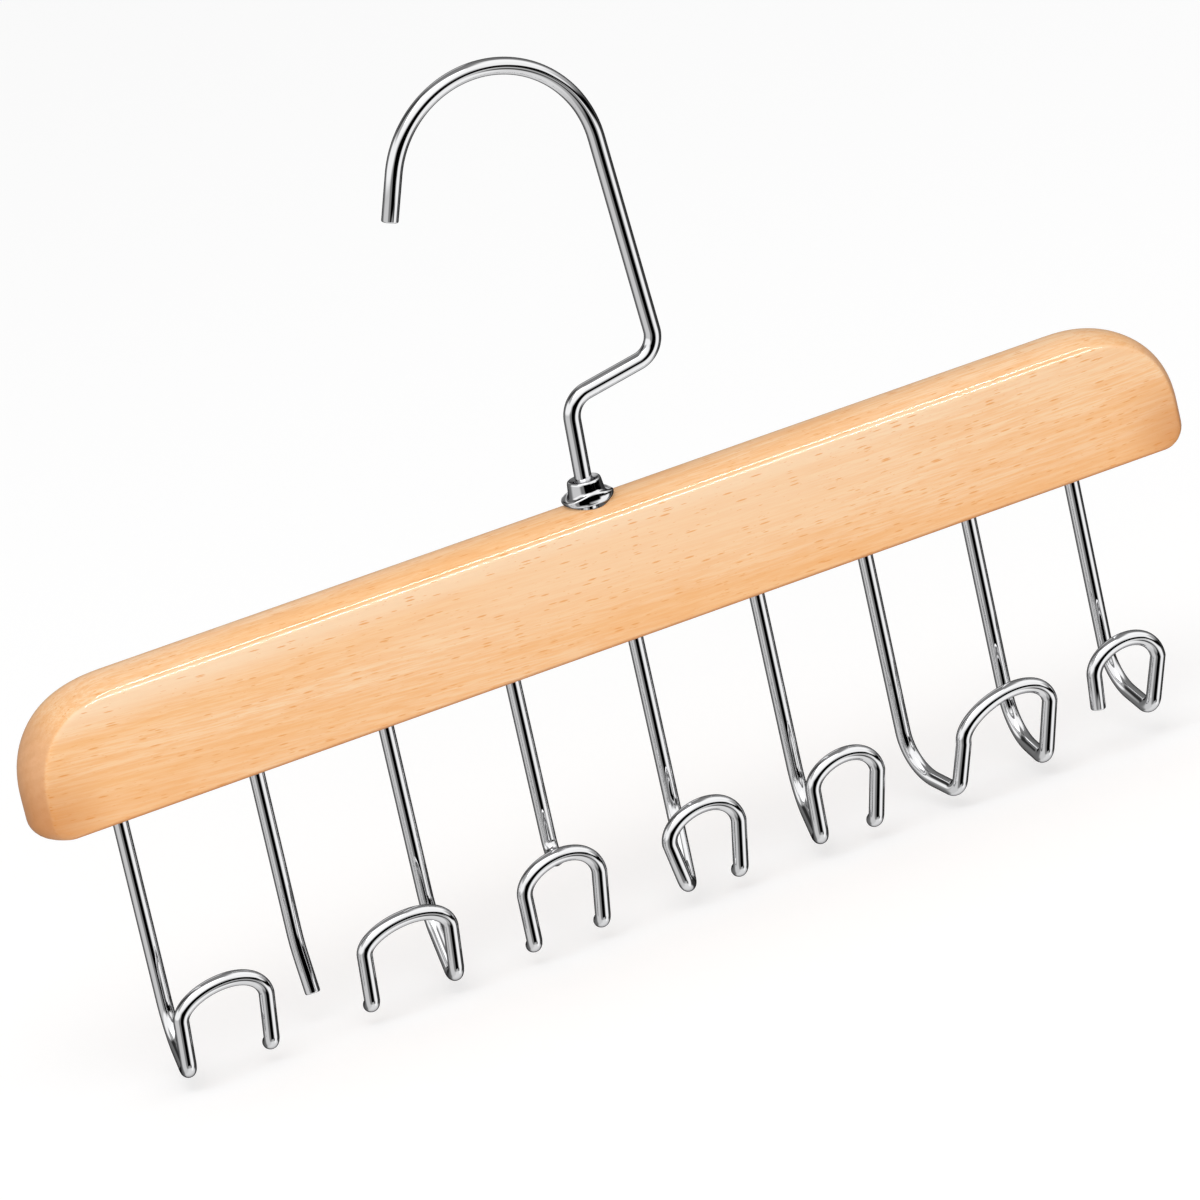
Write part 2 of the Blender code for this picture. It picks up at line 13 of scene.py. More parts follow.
import bmesh
import bpy
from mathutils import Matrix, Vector


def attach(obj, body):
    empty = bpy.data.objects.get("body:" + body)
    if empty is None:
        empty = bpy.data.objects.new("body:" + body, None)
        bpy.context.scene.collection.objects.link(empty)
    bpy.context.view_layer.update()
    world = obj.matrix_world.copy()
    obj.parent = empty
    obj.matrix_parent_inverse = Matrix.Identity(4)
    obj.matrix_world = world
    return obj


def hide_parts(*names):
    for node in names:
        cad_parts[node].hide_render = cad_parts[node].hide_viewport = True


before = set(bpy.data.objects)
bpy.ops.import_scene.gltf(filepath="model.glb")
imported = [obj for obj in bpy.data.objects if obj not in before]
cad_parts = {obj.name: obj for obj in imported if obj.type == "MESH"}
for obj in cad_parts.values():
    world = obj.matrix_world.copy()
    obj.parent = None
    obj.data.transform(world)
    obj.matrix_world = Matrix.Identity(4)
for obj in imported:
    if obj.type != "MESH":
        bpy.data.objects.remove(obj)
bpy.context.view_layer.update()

LOG = logging.getLogger("multi_hook_hanger")
MM_PER_METRE = 1000
BEND_STEP = math.radians(5)
FEWEST_BEND_STEPS = 4
BEND_ROOM = 0.98
START_RADIUS = 0.01
MERGE_DISTANCE = 1e-6
END_GRAIN = "end_grain"
Path = list[Vector]
Pair = tuple[float, float]
Triple = tuple[float, float, float]
Ramp = tuple[float, float, float, float]
Colour = tuple[float, float, float, float]
Item = bpy.types.Object
Material = bpy.types.Material
Node = bpy.types.Node
Socket = bpy.types.NodeSocket
Inputs = dict[str | int, object]


class Body(Enum):
    """The bodies of the frame that pieces ride on."""

    HOOK = "hook"
    HANGER = "hanger"


class Slot(Enum):
    """The material slots of the record."""

    BEECH = "beech"
    CHROME = "chrome"
    ZINC = "zinc_steel"


class WireEnd(Enum):
    """How an end of a wire is finished."""

    CUT = "cut"
    DOMED = "domed"
    TAPERED = "tapered"


class Side(Enum):
    """A side of an arch."""

    LEFT = "left"
    RIGHT = "right"


# Sizes that several pieces share


@dataclass(frozen=True)
class HangerSizes:
    """Sizes of the hanger that more than one sub-assembly needs."""

    bar_length: float = 0.3170
    bar_shift: float = 0.00015
    bar_height: float = 0.0353
    bar_thickness: float = 0.019
    arris_inset: float = 0.0033
    crown_power: float = 2.3
    hook_wire_radius: float = 0.0022
    crown_radius: float = 0.0273
    crown_offset: float = 0.0036
    crown_rise: float = 0.0861
    seat_gap: float = 0.0003
    leg_seat_depth: float = 0.0120
    ferrule_height: float = 0.0055
    leg_place_shares: tuple[float, ...] = (
        -0.4303, -0.3149, -0.2043, -0.0947, 0.0122, 0.1189, 0.2152, 0.3078, 0.4009)

    @property
    def half_thickness(self) -> float:
        """Half of the bar's thickness."""
        return self.bar_thickness / 2

    @property
    def crown_centre_z(self) -> float:
        """Height of the centre of the hook's crown."""
        return self.hook_wire_radius - self.crown_radius

    @property
    def ridge_z(self) -> float:
        """Height of the bar's ridge."""
        return self.crown_centre_z - self.crown_rise

    @property
    def bar_bottom_z(self) -> float:
        """Height of the bar's underside."""
        return self.ridge_z - self.bar_height

    @property
    def bar_x(self) -> float:
        """Place of the middle of the bar."""
        return self.crown_offset - self.bar_shift

    def leg_x(self, number: int) -> float:
        """Place of a leg along the bar, counted from one."""
        return self.bar_x + self.leg_place_shares[number - 1] * self.bar_length

    def ridge_fall(self, y: float) -> float:
        """How far the crowned top lies below the ridge, beside it by y."""
        return self.arris_inset * min(abs(y) / self.half_thickness, 1) ** self.crown_power


SIZES = HangerSizes()


# Work on meshes


def deselect_all() -> None:
    """Deselect every object."""
    bpy.ops.object.select_all(action="DESELECT")


def select_only(item: Item) -> None:
    """Select one object and make it the active one.

    Args:
        item: The object.
    """
    deselect_all()
    item.select_set(True)
    bpy.context.view_layer.objects.active = item


def name_piece(item: Item, name: str) -> Item:
    """Give an object and its data the name of the piece.

    Args:
        item: The object.
        name: The name.

    Returns:
        The same object.
    """
    item.name = name
    item.data.name = name
    return item


def apply_modifiers(item: Item) -> None:
    """Apply every modifier of an object in its order.

    Args:
        item: The object.
    """
    select_only(item)
    for modifier in list(item.modifiers):
        bpy.ops.object.modifier_apply(modifier=modifier.name)


def shade_round(item: Item, degrees: float) -> None:
    """Shade a round piece smooth and keep edges sharper than the angle."""
    select_only(item)
    bpy.ops.object.shade_smooth_by_angle(angle=math.radians(degrees))


def merge_and_face_out(item: Item) -> None:
    """Merge doubled vertices and turn all faces outwards.

    Args:
        item: The object.
    """
    select_only(item)
    bpy.ops.object.mode_set(mode="EDIT")
    bpy.ops.mesh.select_all(action="SELECT")
    bpy.ops.mesh.remove_doubles(threshold=MERGE_DISTANCE)
    bpy.ops.mesh.normals_make_consistent(inside=False)
    bpy.ops.object.mode_set(mode="OBJECT")


def loft(name: str, rings: list[Path], closed: bool = False) -> Item:
    """Draw a body ring by ring from a circle, extruded once for each further ring.

    Args:
        name: Name of the piece.
        rings: Closed rings of the same number of points.
        closed: Whether the last ring joins the first instead of both being filled.

    Returns:
        The new object, at the origin.
    """
    count = len(rings[0])
    deselect_all()
    bpy.ops.mesh.primitive_circle_add(vertices=count, radius=START_RADIUS, fill_type="NOTHING")
    item = name_piece(bpy.context.object, name)
    bpy.ops.object.mode_set(mode="EDIT")
    form = bmesh.from_edit_mesh(item.data)
    for index, ring in enumerate(rings):
        if index:
            bpy.ops.mesh.extrude_region_move()
            form = bmesh.from_edit_mesh(item.data)
        form.verts.ensure_lookup_table()
        for vertex, place in zip(form.verts[count * index:], ring):
            vertex.co = place
    bmesh.update_edit_mesh(item.data)
    if closed:
        join_ends(item, count)
    else:
        fill_ends(item, count)
    bpy.ops.object.mode_set(mode="OBJECT")
    merge_and_face_out(item)
    return item


def fill_ends(item: Item, count: int) -> None:
    """Fill the first and the last ring of a loft that is in edit mode.

    Args:
        item: The loft.
        count: Number of points in a ring.
    """
    for first in (True, False):
        form = bmesh.from_edit_mesh(item.data)
        form.verts.ensure_lookup_table()
        bpy.ops.mesh.select_all(action="DESELECT")
        ring = form.verts[:count] if first else form.verts[-count:]
        for vertex in ring:
            vertex.select = True
        form.select_flush_mode()
        form.select_flush(True)
        bmesh.update_edit_mesh(item.data)
        bpy.ops.mesh.edge_face_add()


def join_ends(item: Item, count: int) -> None:
    """Bridge the first and the last ring of a loft that is in edit mode.

    Args:
        item: The loft.
        count: Number of points in a ring.
    """
    form = bmesh.from_edit_mesh(item.data)
    form.verts.ensure_lookup_table()
    bpy.ops.mesh.select_all(action="DESELECT")
    ends = set(form.verts[:count] + form.verts[-count:])
    for edge in form.edges:
        if len(edge.link_faces) < 2 and ends.issuperset(edge.verts):
            edge.select = True
    bmesh.update_edit_mesh(item.data)
    bpy.ops.mesh.bridge_edge_loops()


def arc_points(
    centre: Vector, across: Vector, up: Vector, start: float, end: float, steps: int
) -> Path:
    """Points of an arc about a centre, in the plane of two scaled axes."""
    turns = [start + (end - start) * index / steps for index in range(steps + 1)]
    return [centre + across * math.cos(turn) + up * math.sin(turn) for turn in turns]


def bend_points(before: Vector, corner: Vector, after: Vector, radius: float) -> Path:
    """Points of the bend that rounds one corner of a wire.

    Args:
        before: The point that the wire comes from.
        corner: The corner of its straight runs.
        after: The corner that the wire goes to.
        radius: Radius of the bend, made smaller where the runs are short.

    Returns:
        The points of the bend, from its first to its last.
    """
    to_before = (before - corner).normalized()
    to_after = (after - corner).normalized()
    turn = math.pi - to_before.angle(to_after)
    room = min((before - corner).length, (after - corner).length)
    reach = min(radius * math.tan(turn / 2), room * BEND_ROOM)
    fitted = reach / math.tan(turn / 2)
    centre = corner + (to_before + to_after).normalized() * (fitted / math.cos(turn / 2))
    start = corner + to_before * reach - centre
    side = (corner + to_after * reach - centre) - start * math.cos(turn)
    steps = max(FEWEST_BEND_STEPS, math.ceil(turn / BEND_STEP))
    return arc_points(centre, start, side.normalized() * fitted, 0, turn, steps)


def bent_path(corners: Path, radii: list[float]) -> Path:
    """Straight runs through corners, with a bend at each inner corner.

    Args:
        corners: The corners and the two ends.
        radii: Radius of each bend, in order.

    Returns:
        The points of the path.
    """
    path = [corners[0]]
    for index, radius in enumerate(radii, start=1):
        path.extend(bend_points(path[-1], corners[index], corners[index + 1], radius))
    path.append(corners[-1])
    return path


@dataclass
class RoundWire:
    """A round wire along a path, with finished ends.

    The path's own ends are the wire's ends. Swells scale the radius point by point.
    """

    name: str
    path: Path
    radius: float
    first: WireEnd = WireEnd.CUT
    last: WireEnd = WireEnd.CUT
    sides_resolution: int = 12
    swells: list[float] = field(default_factory=list)
    dome_length: float = 0.0013
    dome_steps: int = 8
    dome_tip: float = 0.02
    taper_steps: tuple[Pair, ...] = ((0.0, 0.5), (0.0012, 1.0))
    cut_steps: tuple[Pair, ...] = ((0.0, 0.84), (0.00006, 0.90), (0.00018, 0.955), (0.00036, 0.99))
    end_room: float = 0.95
    smooth_below: float = 40

    def end_steps(self, finish: WireEnd) -> list[Pair]:
        """Steps back from an end.

        Args:
            finish: The finish of the end.

        Returns:
            Each step as its distance from the end and its share of the radius.
        """
        if finish is WireEnd.DOMED:
            turns = [math.pi / 2 * index / self.dome_steps for index in range(1, self.dome_steps)]
            return [(self.dome_length * (1 - math.cos(turn)), math.sin(turn)) for turn in turns]
        return list(self.taper_steps if finish is WireEnd.TAPERED else self.cut_steps)

    def finish_last(self, path: Path, swells: list[float], finish: WireEnd) -> None:
        """Shape the last end of a path and its swells in place.

        Args:
            path: Points of the wire's centre line.
            swells: Share of the radius at each point.
            finish: The finish of the end.
        """
        end = path.pop()
        swells.pop()
        back = path[-1] - end
        way = back.normalized()
        room = back.length * self.end_room
        for distance, swell in reversed(self.end_steps(finish)):
            path.append(end + way * min(distance, room))
            swells.append(swell)
        if finish is WireEnd.DOMED:
            path.append(end)
            swells.append(self.dome_tip)

    def build(self) -> Item:
        """Sweep the wire and turn it into a closed mesh.

        Returns:
            The wire's object, at the origin.
        """
        path = list(self.path)
        swells = list(self.swells) or [1.0] * len(path)
        self.finish_last(path, swells, self.last)
        path.reverse()
        swells.reverse()
        self.finish_last(path, swells, self.first)
        deselect_all()
        bpy.ops.curve.primitive_bezier_curve_add(location=(0, 0, 0))
        item = bpy.context.object
        shape = item.data
        shape.splines.clear()
        spline = shape.splines.new("POLY")
        spline.points.add(len(path) - 1)
        for point, place, swell in zip(spline.points, path, swells):
            point.co = (*place, 1)
            point.radius = swell
        shape.bevel_depth = self.radius
        shape.bevel_resolution = self.sides_resolution
        shape.use_fill_caps = True
        select_only(item)
        bpy.ops.object.convert(target="MESH")
        item = name_piece(bpy.context.object, self.name)
        merge_and_face_out(item)
        shade_round(item, self.smooth_below)
        return item


# Shader nodes


class NodeBench:
    """Adds nodes to one node tree and links them."""

    def __init__(self, tree: bpy.types.NodeTree) -> None:
        """Work on one tree."""
        self.tree = tree

    def add(self, kind: str, inputs: Inputs | None = None, **settings: object) -> Node:
        """Add a node.

        Args:
            kind: Type of the node.
            inputs: What feeds its inputs, by their name or number.
            settings: The node's own settings.

        Returns:
            The new node.
        """
        node = self.tree.nodes.new(kind)
        for name, value in settings.items():
            setattr(node, name, value)
        self.feed(node, inputs or {})
        return node

    def feed(self, node: Node, inputs: Inputs) -> None:
        """Feed inputs of a node.

        Args:
            node: The node.
            inputs: A socket to link from or a plain value for each, by its name or number.
        """
        for name, source in inputs.items():
            if isinstance(source, Socket):
                self.tree.links.new(source, node.inputs[name])
            else:
                node.inputs[name].default_value = source

    def math(self, operation: str, *values: object, clamp: bool = False) -> Socket:
        """Work out one number from others."""
        inputs = dict(enumerate(values))
        return self.add("ShaderNodeMath", inputs, operation=operation, use_clamp=clamp).outputs[0]

    def times(self, first: Socket, *others: object) -> Socket:
        """Multiply numbers.

        Args:
            first: The first number.
            others: The numbers to multiply it by, in order.

        Returns:
            The product.
        """
        for other in others:
            first = self.math("MULTIPLY", first, other)
        return first

    def away(self, value: Socket, middle: float) -> Socket:
        """How far a value lies from a middle, to either side."""
        return self.math("ABSOLUTE", self.math("SUBTRACT", value, middle))

    def object_place(self) -> Socket:
        """The place on the object."""
        return self.add("ShaderNodeTexCoord").outputs["Object"]

    def axes(self, place: Socket) -> tuple[Socket, Socket, Socket]:
        """The three numbers of a place."""
        return tuple(self.add("ShaderNodeSeparateXYZ", {0: place}).outputs)

    def scaled(self, place: Socket, scale: Triple) -> Socket:
        """A place scaled along its three axes."""
        inputs = {0: place, 1: scale}
        return self.add("ShaderNodeVectorMath", inputs, operation="MULTIPLY").outputs[0]

    def moved(self, place: Socket, shift: Triple, turn: Triple = (0.0, 0.0, 0.0)) -> Socket:
        """A place turned and moved."""
        inputs = {"Vector": place, "Location": shift, "Rotation": turn}
        return self.add("ShaderNodeMapping", inputs).outputs["Vector"]

    def along(self, way: Socket, axis: Vector) -> Socket:
        """How far a direction goes along an axis."""
        node = self.add("ShaderNodeVectorMath", {0: way, 1: axis}, operation="DOT_PRODUCT")
        return node.outputs["Value"]

    def noise(self, place: Socket, scale: object, detail: float, roughness: float) -> Socket:
        """Noise from 0 to 1 at a place."""
        inputs = {"Vector": place, "Scale": scale, "Detail": detail, "Roughness": roughness}
        return self.add("ShaderNodeTexNoise", inputs).outputs["Fac"]

    def step(self, value: object, low: object, high: object) -> Socket:
        """Rise smoothly from 0 to 1 as a value goes from low to high."""
        inputs = {"Value": value, "From Min": low, "From Max": high}
        return self.add("ShaderNodeMapRange", inputs, interpolation_type="SMOOTHSTEP").outputs[0]

    def fall(self, value: object, low: object, high: object) -> Socket:
        """Fall smoothly from 1 to 0 as a value goes from low to high."""
        return self.math("SUBTRACT", 1.0, self.step(value, low, high))

    def span(self, value: object, low: float, high: float, start: float, end: float) -> Socket:
        """Carry a value from one range to another, held at its ends."""
        inputs = {"Value": value, "From Min": low, "From Max": high, "To Min": start, "To Max": end}
        return self.add("ShaderNodeMapRange", inputs).outputs[0]

    def blend(self, share: object, first: object, second: object) -> Socket:
        """Blend two numbers by a share."""
        inputs = {0: share, 2: first, 3: second}
        return self.add("ShaderNodeMix", inputs, data_type="FLOAT").outputs[0]

    def mix(self, share: object, first: object, second: object) -> Socket:
        """Blend two colours by a share."""
        inputs = {0: share, 6: first, 7: second}
        return self.add("ShaderNodeMix", inputs, data_type="RGBA").outputs[2]

    def layered(self, tone: object, *layers: tuple[Socket, float, object]) -> Socket:
        """Lay colours over a tone.

        Args:
            tone: The colour below them.
            layers: Mask, depth and colour of each, from the lowest to the uppermost.

        Returns:
            The colour that shows.
        """
        for mask, depth, over in layers:
            tone = self.mix(self.times(mask, depth), tone, over)
        return tone

    def bump(self, height: Socket, strength: float, distance: float) -> Socket:
        """The normal of a fine relief."""
        inputs = {"Height": height, "Strength": strength, "Distance": distance}
        return self.add("ShaderNodeBump", inputs).outputs["Normal"]


def colour(red: float, green: float, blue: float) -> Colour:
    """A solid colour."""
    return (red, green, blue, 1.0)


def new_material(name: str) -> tuple[Material, NodeBench, Node]:
    """Make a material.

    Args:
        name: Name of the finish.

    Returns:
        The material, the bench for its nodes, and its shader.
    """
    made = bpy.data.materials.new(name)
    made.use_nodes = True
    return made, NodeBench(made.node_tree), made.node_tree.nodes["Principled BSDF"]


@dataclass(frozen=True)
class HandlingMarks:
    """Faint handling marks and drawn waviness, as one group of nodes for every metal."""

    smear_scale: float = 55.0
    smear_span: Pair = (0.48, 0.72)
    smear_share: float = 0.7
    speck_span: Pair = (0.50, 0.75)
    speck_share: float = 0.3

    def group(self) -> bpy.types.NodeTree:
        """Make the group.

        Returns:
            A node group that puts out a roughness and a height.
        """
        group = bpy.data.node_groups.new("handling_marks", "ShaderNodeTree")
        faces = group.interface
        for label, start in (("Base Roughness", 0.06), ("Haze", 0.03), ("Grain Size", 900.0)):
            socket = faces.new_socket(label, in_out="INPUT", socket_type="NodeSocketFloat")
            socket.default_value = start
        for label in ("Roughness", "Height"):
            faces.new_socket(label, in_out="OUTPUT", socket_type="NodeSocketFloat")
        bench = NodeBench(group)
        given = bench.add("NodeGroupInput").outputs
        place = bench.object_place()
        smear = bench.noise(place, self.smear_scale, detail=3.0, roughness=0.6)
        cloud = bench.step(smear, *self.smear_span)
        fine = bench.noise(place, given["Grain Size"], detail=2.0, roughness=0.5)
        specks = bench.times(bench.step(fine, *self.speck_span), self.speck_share)
        marks = bench.math("MULTIPLY_ADD", cloud, self.smear_share, specks)
        rough = bench.math("MULTIPLY_ADD", marks, given["Haze"], given["Base Roughness"])
        bench.add("NodeGroupOutput", {"Roughness": rough, "Height": smear})
        return group


@dataclass(frozen=True)
class MetalFinish:
    """A plated metal with faint handling marks."""

    name: str
    tone: Colour
    roughness: float
    haze: float
    grain_size: float
    waviness: float
    edge_tint: Colour = colour(0.03, 0.03, 0.035)

    def material(self, marks: bpy.types.NodeTree) -> Material:
        """Make the finish.

        Args:
            marks: The group of handling marks.

        Returns:
            The material.
        """
        made, bench, shader = new_material(self.name)
        given = {"Base Roughness": self.roughness, "Haze": self.haze, "Grain Size": self.grain_size}
        group = bench.add("ShaderNodeGroup", given, node_tree=marks)
        bench.feed(shader, {
            "Base Color": self.tone,
            "Metallic": 1.0,
            "Specular Tint": self.edge_tint,
            "Roughness": group.outputs["Roughness"],
            "Normal": bench.bump(group.outputs["Height"], strength=1.0, distance=self.waviness),
        })
        return made


CHROME_PLATE = MetalFinish("chrome_plate", colour(0.87, 0.87, 0.88), 0.018, 0.02, 900.0, 0.000004)
ZINC_PLATE = MetalFinish("zinc_plate", colour(0.55, 0.55, 0.56), 0.34, 0.12, 1500.0, 0.00004)


@dataclass(frozen=True)
class BeechFinish:
    """Light beech under a satin lacquer, with its grain along the bar.

    A depth says how far a colour is laid over the wood, and a span where its mask begins and is
    full. Heights count from the underside and reaches from the middle of the bar.
    """

    name: str = "lacquered_beech"
    pale: Colour = colour(1.0, 0.69, 0.425)
    warm: Colour = colour(0.98, 0.58, 0.285)
    deep: Colour = colour(0.93, 0.45, 0.165)
    fleck: Colour = colour(0.84, 0.33, 0.075)
    # edge: colour of the painted shade along the lower edge and at the lower ends
    edge: Colour = colour(0.60, 0.22, 0.055)
    # light: colour of the painted sheen and the painted highlight on the faces
    light: Colour = colour(1.0, 0.745, 0.51)
    end_pale: Colour = colour(0.79, 0.42, 0.21)
    end_deep: Colour = colour(0.66, 0.31, 0.13)
    grain_start: Triple = (0.37, 0.11, 0.52)
    grain_tilt: float = math.radians(-2.5)
    grain_fan: float = -0.18
    band_spacing: Triple = (7.0, 60.0, 75.0)
    band_span: Pair = (0.32, 0.70)
    streak_spacing: Triple = (42.0, 760.0, 860.0)
    streak_span: Pair = (0.38, 0.66)
    streak_depth: float = 0.50
    fibre_spacing: Triple = (150.0, 2700.0, 2900.0)
    fibre_span: Pair = (0.42, 0.66)
    fibre_depth: float = 0.48
    fibre_relief: float = 0.00003
    fleck_layers: tuple[tuple[Triple, float], ...] = (
        ((205.0, 1900.0, 2050.0), 0.22),
        ((231.0, 1400.0, 1630.0), 0.20),
    )
    fleck_size: Pair = (0.10, 0.44)
    fleck_core: float = 0.45
    fleck_depth: float = 0.76
    face_span: Pair = (0.0088, 0.0094)
    # where the painted sheen in the upper middle and the painted highlight band below the arris lie
    glow_middle: float = 0.02
    glow_reach: Pair = (0.02, 0.13)
    glow_height: Pair = (0.004, 0.022)
    glow_depth: float = 0.50
    arris_sheen_height: Pair = (0.0223, 0.0308)
    arris_sheen_depth: Ramp = (0.05, 0.12, 0.76, 0.35)
    # where the painted shade along the lower edge and at the lower ends lies
    rim_height: Pair = (0.0002, 0.0013)
    rim_depth: float = 0.90
    corner_reach: Pair = (0.1365, 0.1575)
    corner_height: Pair = (0.004, 0.024)
    corner_depth: float = 0.6
    # where the painted shade in the lower half of the faces lies
    low_shade_height: Pair = (0.001, 0.019)
    low_shade_depth: Ramp = (0.03, 0.15, 0.15, 0.40)
    ring_centre: Triple = (0.0, 0.035, 0.188)
    ring_span: Pair = (0.25, 0.85)
    ring_depth: float = 0.22
    end_streak_span: Pair = (0.40, 0.75)
    end_streak_depth: float = 0.3
    end_depth: float = 0.85
    roughness: Ramp = (0.3, 0.8, 0.36, 0.46)

    def grain_place(self, bench: NodeBench) -> Socket:
        """Object place, turned and bowed so that the grain fans a little along the bar.

        Args:
            bench: The bench of the material.

        Returns:
            The place that the grain is drawn by.
        """
        x, y, z = bench.axes(bench.object_place())
        bowed = bench.math("ADD", z, bench.times(x, x, self.grain_fan))
        place = bench.add("ShaderNodeCombineXYZ", {0: x, 1: y, 2: bowed}).outputs[0]
        return bench.moved(place, self.grain_start, (0.0, self.grain_tilt, 0.0))

    def bar_place(self, bench: NodeBench) -> tuple[Socket, Socket, Socket]:
        """Place along the bar, depth from its middle plane and height above its underside."""
        x, y, z = bench.axes(bench.object_place())
        return x, bench.math("ABSOLUTE", y), bench.math("SUBTRACT", z, SIZES.bar_bottom_z)

    def flecks(self, bench: NodeBench, grain: Socket) -> Socket:
        """Short lens-shaped ray flecks, in two layers of unlike spacing.

        Args:
            bench: The bench of the material.
            grain: The place that the grain is drawn by.

        Returns:
            Their mask.
        """
        layers = []
        for spacing, share in self.fleck_layers:
            inputs = {"Vector": bench.scaled(grain, spacing), "Scale": 1.0, "Randomness": 1.0}
            cells = bench.add("ShaderNodeTexVoronoi", inputs)
            pick = bench.axes(cells.outputs["Color"])[0]
            reach = bench.span(pick, 1 - share, 1.0, *self.fleck_size)
            core = bench.times(reach, self.fleck_core)
            layers.append(bench.fall(cells.outputs["Distance"], core, reach))
        return bench.math("MAXIMUM", *layers)

    def painted_sheen(self, bench: NodeBench) -> Socket:
        """Painted sheen on the faces, paler in the upper middle of the bar, and a painted highlight
        band below its arris.

        Args:
            bench: The bench of the material.

        Returns:
            Its mask.
        """
        x, depth, height = self.bar_place(bench)
        middle = bench.fall(bench.away(x, self.glow_middle), *self.glow_reach)
        glow = bench.times(middle, bench.step(height, *self.glow_height), self.glow_depth)
        # painted highlight band below the arris, fuller towards the left end
        share = bench.span(x, *self.arris_sheen_depth)
        arris_sheen = bench.times(bench.step(height, *self.arris_sheen_height), share)
        return bench.times(bench.math("MAXIMUM", glow, arris_sheen), bench.step(depth, *self.face_span))

    def lower_shade(self, bench: NodeBench) -> Socket:
        """Painted shade, darker at the lower edge and towards the lower ends.

        Args:
            bench: The bench of the material.

        Returns:
            Its mask.
        """
        x, _, height = self.bar_place(bench)
        rim = bench.times(bench.fall(height, *self.rim_height), self.rim_depth)
        outer = bench.step(bench.away(x, SIZES.bar_x), *self.corner_reach)
        low = bench.fall(height, *self.corner_height)
        return bench.math("MAXIMUM", rim, bench.times(outer, low, self.corner_depth))

    def painted_low_shade(self, bench: NodeBench) -> Socket:
        """Painted shade, a deeper colour in the lower half of the faces, fuller towards the ends.

        Args:
            bench: The bench of the material.

        Returns:
            Its mask.
        """
        x, _, height = self.bar_place(bench)
        share = bench.span(bench.away(x, SIZES.bar_x), *self.low_shade_depth)
        return bench.times(bench.fall(height, *self.low_shade_height), share)

    def end_rings(self, bench: NodeBench) -> Socket:
        """Curved growth lines for the end faces.

        Args:
            bench: The bench of the material.

        Returns:
            Their mask.
        """
        place = bench.moved(bench.object_place(), self.ring_centre)
        inputs = {"Vector": place, "Scale": 95.0, "Distortion": 3.0, "Detail": 3.0, "Detail Scale": 1.6}
        rings = bench.add("ShaderNodeTexWave", inputs, wave_type="RINGS", rings_direction="X")
        return bench.step(rings.outputs["Fac"], *self.ring_span)

    def material(self) -> Material:
        """Make the finish.

        Returns:
            The material, which reads the attribute END_GRAIN of its piece.
        """
        made, bench, shader = new_material(self.name)
        grain = self.grain_place(bench)
        bands = bench.noise(bench.scaled(grain, self.band_spacing), 1.0, detail=2.0, roughness=0.5)
        streaks = bench.noise(bench.scaled(grain, self.streak_spacing), 1.0, detail=3.0, roughness=0.6)
        fibres = bench.noise(bench.scaled(grain, self.fibre_spacing), 1.0, detail=2.0, roughness=0.6)
        side_tone = bench.layered(
            bench.mix(bench.step(bands, *self.band_span), self.pale, self.warm),
            (bench.step(streaks, *self.streak_span), self.streak_depth, self.deep),
            (bench.step(fibres, *self.fibre_span), self.fibre_depth, self.deep),
            # painted sheen and painted highlight, laid on as a paler colour
            (self.painted_sheen(bench), 1.0, self.light),
            # painted shade in the lower half of the faces, laid on as a deeper colour
            (self.painted_low_shade(bench), 1.0, self.deep),
            (self.flecks(bench, grain), self.fleck_depth, self.fleck),
        )
        end_tone = bench.layered(
            self.end_pale,
            (self.end_rings(bench), self.ring_depth, self.end_deep),
            (bench.step(streaks, *self.end_streak_span), self.end_streak_depth, self.end_deep),
        )
        ends = bench.add("ShaderNodeAttribute", attribute_name=END_GRAIN).outputs["Fac"]
        tone = bench.layered(
            side_tone,
            (ends, self.end_depth, end_tone),
            # painted shade along the lower edge and at the lower ends
            (self.lower_shade(bench), 1.0, self.edge),
        )
        bench.feed(shader, {
            "Base Color": tone,
            "Roughness": bench.span(streaks, *self.roughness),
            "Normal": bench.bump(fibres, strength=0.35, distance=self.fibre_relief),
            "Specular IOR Level": 0.05,
            "Coat Weight": 0.45,
            "Coat Roughness": 0.03,
            "Coat IOR": 1.5,
        })
        return made


# The wooden bar


